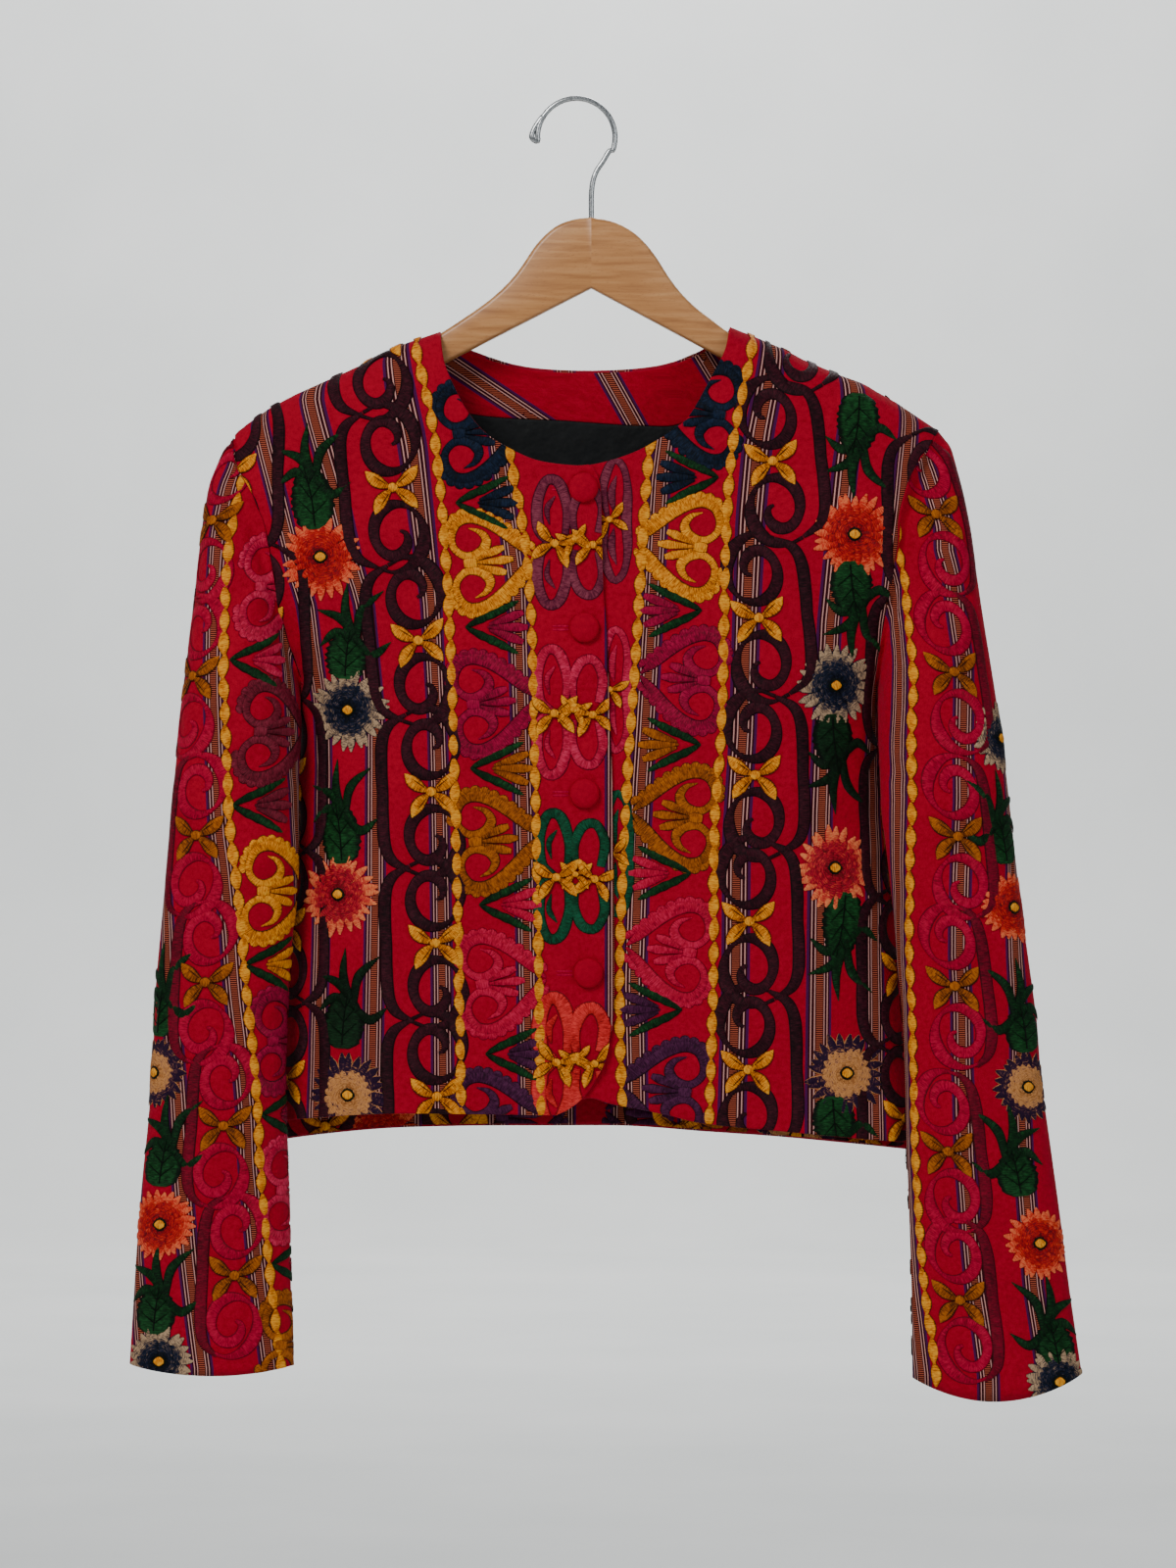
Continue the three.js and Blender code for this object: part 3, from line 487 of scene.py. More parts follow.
def start(name):
    material = bpy.data.materials.new(name)
    material.use_nodes = True
    nodes = material.node_tree.nodes
    nodes.clear()
    out = nodes.new("ShaderNodeOutputMaterial")
    shader = nodes.new("ShaderNodeBsdfPrincipled")
    material.node_tree.links.new(shader.outputs[0], out.inputs[0])
    return material, material.node_tree, shader


def add(tree, kind, inputs=None, **settings):
    """A node with its settings, and its inputs set or linked."""
    node = tree.nodes.new(kind)
    for key, value in settings.items():
        setattr(node, key, value)
    for key, value in (inputs or {}).items():
        if isinstance(value, bpy.types.NodeSocket):
            tree.links.new(value, node.inputs[key])
        else:
            node.inputs[key].default_value = value
    return node


def ramp(tree, fac, stops, constant=False):
    node = add(tree, "ShaderNodeValToRGB", {0: fac})
    node.color_ramp.interpolation = "CONSTANT" if constant else "LINEAR"
    marks = node.color_ramp.elements
    while len(marks) > 1:
        marks.remove(marks[-1])
    marks[0].position, marks[0].color = stops[0]
    for position, value in stops[1:]:
        mark = marks.new(position)
        mark.color = value
    return node.outputs[0]


def mixed(tree, fac, a, b, blend="MIX"):
    node = add(tree, "ShaderNodeMix", data_type="RGBA", blend_type=blend)
    for socket, value in ((node.inputs[0], fac), (node.inputs[6], a), (node.inputs[7], b)):
        if isinstance(value, bpy.types.NodeSocket):
            tree.links.new(value, socket)
        else:
            socket.default_value = value
    return node.outputs[2]


def maths(tree, operation, a, b=0.0, c=0.0):
    node = add(tree, "ShaderNodeMath", {0: a, 1: b}, operation=operation)
    if operation in ("MULTIPLY_ADD", "PINGPONG", "COMPARE", "WRAP"):
        if isinstance(c, bpy.types.NodeSocket):
            tree.links.new(c, node.inputs[2])
        else:
            node.inputs[2].default_value = c
    return node.outputs[0]


def cloth_place(tree):
    """Cloth coordinates in millimetres."""
    uv = add(tree, "ShaderNodeUVMap", uv_map="cloth")
    return add(tree, "ShaderNodeVectorMath", {0: uv.outputs[0], "Scale": 1000.0}, operation="SCALE")


def new_group(name, inputs, outputs):
    group = bpy.data.node_groups.new(name, "ShaderNodeTree")
    for label, kind, value in inputs:
        socket = group.interface.new_socket(label, in_out="INPUT", socket_type=kind)
        socket.default_value = value
    for label, kind in outputs:
        group.interface.new_socket(label, in_out="OUTPUT", socket_type=kind)
    return group, group.nodes.new("NodeGroupInput"), group.nodes.new("NodeGroupOutput")


def weave_group():
    """Fine crossed threads and a soft unevenness, from cloth coordinates in millimetres."""
    group, given, out = new_group(
        "woven threads",
        [("Place", "NodeSocketVector", (0, 0, 0)), ("Threads per mm", "NodeSocketFloat", 1.6)],
        [("Height", "NodeSocketFloat"), ("Tone", "NodeSocketFloat")])
    scaled = add(group, "ShaderNodeVectorMath", {0: given.outputs[0]}, operation="SCALE")
    group.links.new(given.outputs[1], scaled.inputs["Scale"])
    split = add(group, "ShaderNodeSeparateXYZ", {0: scaled.outputs[0]})
    turn = 2 * math.pi
    across = maths(group, "SINE", maths(group, "MULTIPLY", split.outputs[0], turn))
    along = maths(group, "SINE", maths(group, "MULTIPLY", split.outputs[1], turn))
    crossed = maths(group, "MULTIPLY", across, along)
    slub = add(group, "ShaderNodeTexNoise", {"Vector": given.outputs[0], "Scale": 0.35,
                                              "Detail": 3.0, "Roughness": 0.6})
    fine = add(group, "ShaderNodeTexNoise", {"Vector": given.outputs[0], "Scale": 2.2, "Detail": 2.0})
    height = maths(group, "MULTIPLY_ADD", crossed, 0.35, slub.outputs[0])
    tone = maths(group, "MULTIPLY_ADD", fine.outputs[0], 0.5, maths(group, "MULTIPLY", slub.outputs[0], 0.5))
    group.links.new(height, out.inputs[0])
    group.links.new(tone, out.inputs[1])
    return group


WEAVE = weave_group()
RED_DEEP, RED, RED_PALE = colour("840218"), colour("a20424"), colour("ae082c")
BAND_MIDDLES = (-18.0, 38.0, 93.0, 136.0, 173.0, 213.0, 250.0, 292.0)


def bands(tree, across, along):
    """The woven stripe bands: a ladder of ticks between white, dark and purple lines."""
    folded = None
    for middle in BAND_MIDDLES:
        away = maths(tree, "ABSOLUTE", maths(tree, "SUBTRACT", across, middle))
        folded = away if folded is None else maths(tree, "MINIMUM", folded, away)
    share = maths(tree, "DIVIDE", folded, 10.0)
    white, dark, purple = colour("cc948c"), colour("30040c"), colour("440c44")
    lines = ramp(tree, share, [
        (0.0, dark), (0.24, white), (0.30, dark), (0.43, white),
        (0.49, dark), (0.58, purple), (0.72, RED)], constant=True)
    ticks = maths(tree, "SINE", maths(tree, "MULTIPLY", along, 2 * math.pi / 1.3))
    ladder = ramp(tree, maths(tree, "MULTIPLY_ADD", ticks, 0.5, 0.5), [
        (0.35, dark), (0.65, colour("8c3420")), (0.95, colour("b05a40"))])
    inside = maths(tree, "LESS_THAN", share, 0.19)
    return mixed(tree, inside, lines, ladder)


def striped_cloth(name, reverse=False):
    """Red woven cloth with stripe bands; the reverse is duller and paler."""
    material, tree, shader = start(name)
    place = cloth_place(tree)
    split = add(tree, "ShaderNodeSeparateXYZ", {0: place.outputs[0]})
    across, along = split.outputs[0], split.outputs[1]
    weave = add(tree, "ShaderNodeGroup", {}, node_tree=WEAVE)
    tree.links.new(place.outputs[0], weave.inputs[0])
    tone = ramp(tree, weave.outputs[1], [(0.3, RED_DEEP), (0.52, RED), (0.75, RED_PALE)])
    pattern = bands(tree, across, along)
    apart = add(tree, "ShaderNodeVectorMath", {0: pattern, 1: RED[:3]}, operation="DISTANCE")
    is_band = maths(tree, "GREATER_THAN", apart.outputs["Value"], 0.01)
    tone = mixed(tree, is_band, tone, pattern)
    worn = add(tree, "ShaderNodeTexNoise", {"Vector": place.outputs[0], "Scale": 0.018, "Detail": 4.0})
    tone = mixed(tree, maths(tree, "MULTIPLY", worn.outputs[0], 0.3), tone, colour("5a0414"), "MULTIPLY")
    if reverse:
        tone = mixed(tree, 0.35, tone, colour("7a2430"))
    tree.links.new(tone, shader.inputs["Base Color"])
    shader.inputs["Roughness"].default_value = 0.8
    shader.inputs["Sheen Weight"].default_value = 0.02
    shader.inputs["Sheen Roughness"].default_value = 0.5
    shader.inputs["Specular IOR Level"].default_value = 0.06
    bump = add(tree, "ShaderNodeBump", {"Height": weave.outputs[0], "Strength": 0.35, "Distance": 0.0006})
    pucker = add(tree, "ShaderNodeTexNoise", {"Vector": place.outputs[0], "Scale": 0.09, "Detail": 3.0})
    wave = add(tree, "ShaderNodeBump", {"Height": pucker.outputs[0], "Strength": 0.45,
                                         "Distance": 0.004, "Normal": bump.outputs[0]})
    tree.links.new(wave.outputs[0], shader.inputs["Normal"])
    return material


def thread(name, tones):
    """Satin stitches: fine threads lie across each stroke, with streaks of random tone and painted sheen;
    shade runs through the tones, with painted shade at each stroke's rim.
    """
    material, tree, shader = start(name)
    place = cloth_place(tree)
    split = add(tree, "ShaderNodeSeparateXYZ", {0: place.outputs[0]})
    shade = add(tree, "ShaderNodeAttribute", attribute_name="shade")
    tone_and_sheen_streak_at = add(tree, "ShaderNodeCombineXYZ", {0: maths(tree, "MULTIPLY", split.outputs[0], 1.7),
                                                    1: maths(tree, "MULTIPLY", split.outputs[1], 0.22)})
    tone_and_sheen_streak = add(tree, "ShaderNodeTexNoise", {"Vector": tone_and_sheen_streak_at.outputs[0], "Scale": 1.0,
                                               "Detail": 3.0, "Roughness": 0.65})
    blotch = add(tree, "ShaderNodeTexNoise", {"Vector": place.outputs[0], "Scale": 0.3, "Detail": 2.0})
    # streaks across the stitches vary each thread's tone at random and also paint the satin's sheen: lighter
    # and darker bands stand in for highlights
    fac = maths(tree, "MULTIPLY_ADD", maths(tree, "SUBTRACT", tone_and_sheen_streak.outputs[0], 0.5), 2.3,
                shade.outputs["Fac"])
    fac = maths(tree, "MULTIPLY_ADD", maths(tree, "SUBTRACT", blotch.outputs[0], 0.5), 0.8, fac)
    last = len(tones) - 1
    tone = ramp(tree, fac, [(0.05 + 0.9 * k / last, tones[k]) for k in range(last + 1)])
    tree.links.new(tone, shader.inputs["Base Color"])
    shader.inputs["Roughness"].default_value = 0.55
    shader.inputs["Specular IOR Level"].default_value = 0.09
    rows = maths(tree, "SINE", maths(tree, "MULTIPLY", split.outputs[0], 2 * math.pi / 0.7))
    height = maths(tree, "MULTIPLY_ADD", rows, 0.2, tone_and_sheen_streak.outputs[0])
    bump = add(tree, "ShaderNodeBump", {"Height": height, "Strength": 0.7, "Distance": 0.0009})
    tree.links.new(bump.outputs[0], shader.inputs["Normal"])
    return material


# tones from a stroke's edge and foot to its crown and tip; the darkest also serve as painted shade along each
# stroke's rim
THREADS = {
    "gold": ("3c1402", "984c04", "ce780c", "e8a028"), "ochre": ("280c02", "622c04", "904808", "ae6018"),
    "maroon": ("0e0106", "1e060c", "300a16", "42121e"), "wine": ("2c040c", "480a18", "641224", "7c2034"),
    "navy": ("020308", "050912", "0a1424", "142238"), "green": ("020c04", "051e0b", "093012", "144822"),
    "ivy": ("020803", "041407", "08210e", "103018"), "magenta": ("300010", "600020", "86042c", "a00e3c"),
    "pink": ("540410", "8c0422", "aa0a2e", "c21e46"), "purple": ("12040a", "280820", "3c1032", "502042"),
    "mauve": ("300616", "50102a", "6a2236", "82384a"), "rose": ("540416", "900828", "ae1036", "c83054"),
    "jade": ("021209", "042c19", "074028", "105438"), "coral": ("600610", "a01018", "c02426", "d83c38"),
    "crimson": ("5c0014", "8a0020", "a4022c", "b60a3a"),
    "dark crimson": ("38000c", "560016", "6c001c", "820424"),
    "coral petal": ("58040e", "900818", "b01816", "c42c1c", "dc6840"),
    "navy petal": ("04060f", "080f1f", "121d36", "665040", "ac8e70"),
    "beige petal": ("8c5428", "c0844c", "b87c4c", "341230", "1e0a24"),
    "pink petal": ("60040f", "940a22", "b01c28", "c4442c", "dc784a"),
}
THREAD_NAMES = list(THREADS)


# ---- meshes ---------------------------------------------------------------

def new_object(name, points, faces, materials, uv=None, shade=None, index=None, smooth_it=True):
    """A mesh object from points in millimetres."""
    mesh = bpy.data.meshes.new(name)
    mesh.from_pydata((np.asarray(points) * MM).tolist(), [], [list(map(int, f)) for f in faces])
    for material in materials:
        mesh.materials.append(material)
    if uv is not None:
        layer = mesh.uv_layers.new(name="cloth")
        loops = np.zeros(len(mesh.loops), np.int32)
        mesh.loops.foreach_get("vertex_index", loops)
        layer.data.foreach_set("uv", (np.asarray(uv)[loops] * MM).astype(np.float32).ravel())
    if shade is not None:
        data = mesh.attributes.new("shade", "FLOAT", "POINT")
        data.data.foreach_set("value", np.asarray(shade, np.float32))
    if index is not None:
        mesh.polygons.foreach_set("material_index", np.asarray(index, np.int32))
    mesh.polygons.foreach_set("use_smooth", [smooth_it] * len(mesh.polygons))
    mesh.update()
    made = bpy.data.objects.new(name, mesh)
    bpy.context.scene.collection.objects.link(made)
    return made


def skin(rings, around):
    """Faces between rings of points that follow each other."""
    faces = []
    for i in range(rings - 1):
        for k in range(around):
            a, b = i * around + k, i * around + (k + 1) % around
            faces.append((a, b, b + around, a + around))
    return faces


def cloth_panel(name, surface, outline, materials, stripe, depth=0.0, thick=CLOTH):
    """A thin shell with turned edges, cut to an outline in cloth coordinates."""
    rim = even(np.vstack([outline.points, outline.points[:1]]), MESH_STEP)[:-1]
    line = Outline(rim)
    low, high = rim.min(0), rim.max(0)
    s, z = np.meshgrid(np.arange(low[0], high[0], MESH_STEP), np.arange(low[1], high[1], MESH_STEP))
    grid = np.column_stack([s.ravel(), z.ravel()])
    tangent = np.roll(rim, -1, axis=0) - np.roll(rim, 1, axis=0)
    inward = np.column_stack([-tangent[:, 1], tangent[:, 0]])
    inward /= np.maximum(np.linalg.norm(inward, axis=1), 1e-9)[:, None]
    inward *= 1 if line.turning() > 0 else -1
    near = [rim + inward * d for d in (0.7, 1.9)]
    _, far = line.nearest(grid)
    grid = grid[line.inside(grid) & (far > 2.8)]
    kept = [grid]
    for ring, least in zip(near, (0.55, 1.5)):
        _, far = line.nearest(ring)
        kept.append(ring[line.inside(ring) & (far > least)])
    flat = np.vstack([rim] + kept)
    found = delaunay_2d_cdt([Vector(p) for p in flat], [], [list(range(len(rim)))], 1, 1e-5)
    flat = np.array([tuple(v) for v in found[0]])
    faces = np.array([f for f in found[2] if len(f) == 3])
    a, b, c = (flat[faces[:, k]] for k in range(3))
    turned = (b - a)[:, 0] * (c - a)[:, 1] - (b - a)[:, 1] * (c - a)[:, 0] < 0
    faces[turned] = faces[turned][:, ::-1]
    pairs = np.vstack([faces[:, [0, 1]], faces[:, [1, 2]], faces[:, [2, 0]]])
    known = {tuple(p) for p in pairs}
    border = [(p, q) for p, q in known if (q, p) not in known]
    on_rim = sorted({v for pair in border for v in pair})
    number = {v: k for k, v in enumerate(on_rim)}
    n = len(flat)
    lift = np.zeros(n)
    lift[on_rim] = -0.25
    outer = surface.place(flat[:, 0], flat[:, 1], depth + lift)
    inner = surface.place(flat[:, 0], flat[:, 1], np.full(n, depth - thick) - lift)
    middle = (outer[on_rim] + inner[on_rim]) / 2
    edge_dir = np.zeros((len(on_rim), 2))
    for p, q in border:
        d = flat[q] - flat[p]
        out = np.array([d[1], -d[0]]) / max(np.hypot(*d), 1e-9)
        edge_dir[number[p]] += out
        edge_dir[number[q]] += out
    edge_dir /= np.maximum(np.linalg.norm(edge_dir, axis=1), 1e-9)[:, None]
    moved = flat[on_rim] - edge_dir * 0.5
    back = surface.place(moved[:, 0], moved[:, 1], np.full(len(moved), depth - thick / 2))
    step = middle - back
    step /= np.maximum(np.linalg.norm(step, axis=1), 1e-9)[:, None]
    middle = middle + step * 0.12
    points = np.vstack([outer, inner, middle])
    flip = turned_in(outer, faces, surface, flat, depth)
    made, kinds = [], []
    for f in faces:
        a, b, c = f if not flip else f[::-1]
        made.append((a, b, c))
        made.append((n + c, n + b, n + a))
        kinds += [0, 1]
    for p, q in border:
        m0, m1 = 2 * n + number[p], 2 * n + number[q]
        ring = [(q, p, m0, m1), (m1, m0, n + p, n + q)]
        for quad in ring:
            made.append(quad if not flip else quad[::-1])
            kinds.append(0)
    mapped = np.column_stack([stripe(flat[:, 0], flat[:, 1]), flat[:, 1]])
    uv = np.vstack([mapped, mapped, mapped[on_rim]])
    return new_object(name, points, made, materials, uv, index=kinds)


def turned_in(outer, faces, surface, flat, depth):
    """Whether the faces point into the garment as they stand."""
    some = faces[:: max(1, len(faces) // 200)]
    a, b, c = (outer[some[:, k]] for k in range(3))
    normal = np.cross(b - a, c - a)
    lifted = surface.place(flat[some[:, 0], 0], flat[some[:, 0], 1], np.full(len(some), depth + 2.0))
    return ((lifted - a) * normal).sum(1).mean() < 0


def sleeve_shell(name, surface, materials, stripe):
    """The sleeve's tube with an inner side and turned edges at armhole and cuff."""
    rows, around = surface.ROWS, surface.AROUND
    outer = surface.grid.reshape(-1, 3)
    inner = (surface.grid - surface.normals * CLOTH).reshape(-1, 3)
    n = rows * around
    made, kinds = [], []
    for i in range(rows - 1):
        for k in range(around):
            a, b = i * around + k, i * around + (k + 1) % around
            c, d = b + around, a + around
            made += [(a, b, c, d), (n + d, n + c, n + b, n + a)]
            kinds += [0, 1]
    for k in range(around):
        a, b = k, (k + 1) % around
        made.append((b, a, n + a, n + b))
        c, d = (rows - 1) * around + a, (rows - 1) * around + b
        made.append((c, d, n + d, n + c))
        kinds += [0, 0]
    points = np.vstack([outer, inner])
    a, b, c = (points[[f[k] for f in made[:400:2]]] for k in range(3))
    look = surface.normals.reshape(-1, 3)[[f[0] for f in made[:400:2]]]
    if (np.cross(b - a, c - a) * look).sum(1).mean() < 0:
        made = [f[::-1] for f in made]
    z = surface.grid[..., 2]
    s = np.zeros_like(z)
    for c, k in enumerate(surface.columns[:-1]):
        row = (surface.heights[0] - z[:, k % around]) / ROW_STEP
        i = np.clip(row, 0, len(surface.heights) - 1.001)
        s[:, k % around] = np.interp(i, np.arange(len(surface.heights)), surface.length[:, c])
    mapped = np.column_stack([stripe(s.ravel(), z.ravel()), z.ravel()])
    return new_object(name, points, made, materials, np.vstack([mapped, mapped]), index=kinds)


# ---- embroidery -----------------------------------------------------------

class Embroidery:
    """Raised strokes on one piece of cloth, all in one mesh."""

    PROFILE = ((-1.0, 0.0), (-0.74, 0.84), (0.0, 1.0), (0.74, 0.84), (1.0, 0.0))

    def __init__(self, surface, outline, depth=0.0, rise=RISE, inside=False):
        self.surface, self.outline, self.depth, self.rise = surface, outline, depth, rise
        self.inside = inside
        self.flat, self.height, self.uv, self.shade = [], [], [], []
        self.faces, self.kinds, self.count = [], [], 0
        self.origin, self.turn, self.size, self.hand = (0, 0), 0.0, 1.0, 1

    def at(self, s, z, hand=1, turn=0.0, size=1.0):
        """Sets where the next strokes go: origin, mirror, turn in radians and size."""
        self.origin, self.hand, self.turn, self.size = (s, z), hand, turn, size
        return self

    def stroke(self, path, width, kind, lift=0.0, shade=(0.25, 0.6), step=2.4, rise=1.0, closed=False):
        """A satin-stitched line: width is a list of widths along it."""
        line = curve(path, step, closed)
        if closed:
            line = np.vstack([line, line[:1]])
        n = len(line)
        along = np.r_[0, np.cumsum(np.linalg.norm(np.diff(line, axis=0), axis=1))]
        share = along / max(along[-1], 1e-9)
        wide = np.interp(share, np.linspace(0, 1, len(width)), width) / 2
        tangent = np.gradient(line, axis=0)
        tangent /= np.maximum(np.linalg.norm(tangent, axis=1), 1e-9)[:, None]
        side = np.column_stack([-tangent[:, 1], tangent[:, 0]])
        tones = np.interp(share, np.linspace(0, 1, len(shade)), shade)
        start_at = rng.uniform(0, 40)
        for off, up in self.PROFILE:
            local = (line + side * (wide * off)[:, None]) * self.size
            c, d = math.cos(self.turn), math.sin(self.turn)
            a = local[:, 0] * c - local[:, 1] * d
            b = local[:, 0] * d + local[:, 1] * c
            self.flat.append(np.column_stack([self.origin[0] + self.hand * a, self.origin[1] + b]))
            crown = np.minimum(1, wide * self.size / 1.2)
            self.height.append(0.12 + lift + up * rise * self.rise * (0.35 + 0.65 * crown))
            self.uv.append(np.column_stack([along * self.size + start_at, wide * off * self.size + start_at]))
            # the rim points of each stroke get tones 0.95 lower: painted shade, a dark line where strokes
            # meet each other and the cloth
            self.shade.append(tones - (0.0 if up else 0.95))
        base = self.count
        k = np.arange(n - 1)
        material = THREAD_NAMES.index(kind)
        for j in range(4):
            quad = np.column_stack([base + j * n + k, base + j * n + k + 1,
                                    base + (j + 1) * n + k + 1, base + (j + 1) * n + k])
            self.faces.append(quad if (self.hand > 0) != self.inside else quad[:, ::-1])
            self.kinds.append(np.full(n - 1, material))
        self.count += 5 * n

    def build(self, name):
        """The mesh, cut off at the cloth's outline."""
        flat, height = np.vstack(self.flat), np.concatenate(self.height)
        uv, shade = np.vstack(self.uv), np.concatenate(self.shade)
        faces, kinds = np.vstack(self.faces), np.concatenate(self.kinds)
        outside = ~self.outline.inside(flat)
        keep = ~outside[faces].all(axis=1)
        faces, kinds = faces[keep], kinds[keep]
        used = np.unique(faces)
        number = np.full(len(flat), -1)
        number[used] = np.arange(len(used))
        flat, height, uv, shade, outside = flat[used], height[used], uv[used], shade[used], outside[used]
        if outside.any():
            flat[outside], _ = self.outline.nearest(flat[outside])
        height = self.depth + (-height if self.inside else height)
        points = self.surface.place(flat[:, 0], flat[:, 1], height)
        shown = sorted(set(kinds.tolist()))
        materials = [THREAD_MATERIALS[THREAD_NAMES[k]] for k in shown]
        index = np.searchsorted(shown, kinds)
        return new_object(name, points, number[faces], materials, uv, shade, index)


def bow(e, kind="gold", size=1.0, lift=0.45):
    """Four pointed petals and a knot."""
    for a, b, bend, length in ((-0.80, 0.60, 1.6, 20), (0.80, 0.60, -1.6, 21),
                               (-0.62, -0.78, -1.6, 20), (0.72, -0.70, 1.6, 20)):
        path = [(a * length * t - b * bend * math.sin(math.pi * t), b * length * t + a * bend *
                 math.sin(math.pi * t)) for t in (0.1, 0.4, 0.7, 1.0)]
        e.stroke(np.array(path) * size, np.array([2.4, 6.0, 8.4, 8.6, 6.2, 0.6]) * size, kind, lift,
                 (0.35, 0.6, 0.85), step=2.0)
        e.stroke(np.array([(a * 5, b * 5), (a * 14, b * 14)]) * size, np.array([0.5, 0.9, 0.3]) * size,
                 kind, lift + 0.5, (-0.1, 0.1), step=5)
    e.stroke([(-3.0 * size, 0), (0, 0.3), (3.0 * size, 0)], np.array([2.4, 6.2, 6.8, 6.2, 2.4]) * size,
             kind, lift + 0.4, (0.6, 0.9), step=1.3)


def scroll(e, kind="maroon", tall=48.0, wide=1.0, bowed="gold", side=1.0, deep=0.43, outer=None):
    """A bracket with two inward spirals, one above and one below a bow."""
    swell = (2.6, 2.2, 5.4, 8.6, 9.4, 7.8, 4.6, 2.4, 5.2, 8.0, 8.2, 7.2, 6.2, 7.2, 8.0, 5.8, 1.8)
    for up in (1, -1):
        path = []
        for k in range(19):
            t = k / 18
            turn = math.radians(128 - 515 * t)
            q = np.interp(t, (0, 0.15, 0.45, 0.75, 0.92, 1.0), (1.26, 1.06, 0.88, 0.70, 0.40, 0.16))
            path.append(((17.6 * q * math.cos(turn) - 0.5) * wide,
                         up * (0.60 + deep * q * math.sin(turn)) * tall))
        e.stroke(path, swell, kind, 0.0, (0.35, 0.6, 0.4, 0.7, 0.5))
    bracket = ((-14.5, 1.02), (-25.5, 0.88), (-30.0, 0.66), (-30.8, 0.3), (-30.4, 0.0), (-30.8, -0.3),
               (-30.0, -0.66), (-25.5, -0.88), (-14.5, -1.02))
    e.stroke([(a * side, b * tall) for a, b in bracket], [2.4, 7.0, 8.2, 8.0, 7.6, 8.0, 8.2, 7.0, 2.4],
             outer or kind, 0.05, (0.6, 0.4, 0.65, 0.45))
    if bowed:
        bow(e, bowed, 1.0)


HEART_HALF = [(0, 0.6), (8, 8.6), (17, 17.4), (27, 25), (37, 28.6), (45.5, 26.4), (50, 19), (49.6, 11),
              (44, 5.4), (37.5, 4.6), (31.2, 7.6), (28.6, 13.4), (32, 19), (39, 22)]


def heart(e, kind="gold"):
    """A heart on its side with its tip at the origin, scalloped, with two curls and three petals."""
    for up in (1, -1):
        path = [(-a, up * b) for a, b in HEART_HALF]
        e.stroke(path, [1.6, 6.6, 8.0, 8.2, 8.4, 8.0, 7.0, 6.0, 5.0, 5.0, 6.6, 7.4, 4.6, 0.6], kind, 0.0,
                 (0.45, 0.7, 0.5, 0.75, 0.6))
        rim = curve(path[:8], 6.6)
        for k in range(1, len(rim) - 1):
            d = rim[k + 1] - rim[k - 1]
            d /= np.linalg.norm(d)
            out = np.array([-d[1], d[0]]) * -up
            spot = rim[k] + out * 3.4
            e.stroke([spot - d * 3.4, spot + out * 1.0, spot + d * 3.4], [1.5, 4.6, 5.2, 4.6, 1.5], kind,
                     -0.1, (0.6, 0.7), step=1.7)
        e.stroke([(-37, up * 1.4), (-28, up * 5.0), (-18, up * 8.0)], [1.8, 3.6, 5.4, 6.2, 3.4], kind, 0.1,
                 (0.4, 0.8), step=2.0)
    e.stroke([(-37, 0), (-26, 0), (-13, 0)], [1.8, 3.4, 5.0, 6.4, 3.2], kind, 0.2, (0.4, 0.85), step=2.0)
    e.stroke([(-44, 0), (-40, 0.2), (-36, 0)], [5.0, 7.4, 7.4, 7.0, 5.0], kind, 0.4, (0.7, 0.85), step=1.6)


def fan(e, kind="navy"):
    """A green V of two leaves with its tip outward, and three petals between them."""
    ragged = [1.0, 3.6, 4.4, 5.6, 4.8, 6.2, 5.0, 5.6, 3.8, 3.6, 0.6]
    for up in (1, -1):
        e.stroke([(0, 0), (10, up * 5.2), (21, up * 10.2), (34, up * 17.0)], ragged, "green", 0.15,
                 (0.35, 0.7), step=2.0)
        e.stroke([(15, up * 1.8), (25, up * 5.0), (37, up * 9.6)], [1.6, 4.4, 6.2, 6.6, 3.6], kind, 0.05,
                 (0.4, 0.8), step=2.0)
    e.stroke([(14, 0), (26, 0), (40, 0)], [1.6, 4.0, 6.0, 6.6, 3.6], kind, 0.1, (0.4, 0.85), step=2.0)


# kind of flower: tones of the outer petals, tones of the inner petals, reach of the middle ring
FLOWER_LOOKS = {
    "coral petal": ((0.1, 0.4, 0.6, 0.8, 1.05), (0.05, 0.2, 0.3, 0.42, 0.5), 0.72),
    "pink petal": ((0.1, 0.4, 0.6, 0.8, 1.05), (0.0, 0.12, 0.22, 0.34, 0.44), 0.72),
    "beige petal": ((0.4, 0.6, 0.85, 1.0, 1.05), (0.0, 0.12, 0.25, 0.4, 0.5), 0.64),
    "navy petal": ((0.2, 0.45, 0.7, 0.9, 1.0), (0.0, 0.12, 0.25, 0.4, 0.5), 0.64),
}


def flower(e, kind, radius=26.0):
    """A daisy of three rings of slender pointed petals round a gold middle."""
    outer, inner, middle = FLOWER_LOOKS[kind]
    for ring, reach, count, tones in ((0, 1.0, 25, outer), (1, middle, 20, inner), (2, 0.46, 14, inner)):
        for k in range(count):
            turn = 2 * math.pi * (k + 0.5 * (ring % 2)) / count + rng.uniform(-0.07, 0.07)
            far = radius * reach * rng.uniform(0.92, 1.06)
            c, d = math.cos(turn), math.sin(turn)
            path = [(4 * c, 4 * d), (far * 0.5 * c - 0.8 * d, far * 0.5 * d + 0.8 * c), (far * c, far * d)]
            e.stroke(path, [1.4, 3.2, 4.8, 6.2, 5.4, 1.2], kind, 0.05 + 0.22 * ring, tones, step=2.6,
                     rise=0.8)
    e.stroke([(-4.6, 0), (0, 0.2), (4.6, 0)], [2, 8.0, 9.4, 8.0, 2], "ivy", 0.75, (0.1, 0.2), step=1.5)
    e.stroke([(-3.2, 0), (0, 0.2), (3.2, 0)], [2, 5.8, 6.8, 5.8, 2], "gold", 1.1, (0.7, 0.9), step=1.2)


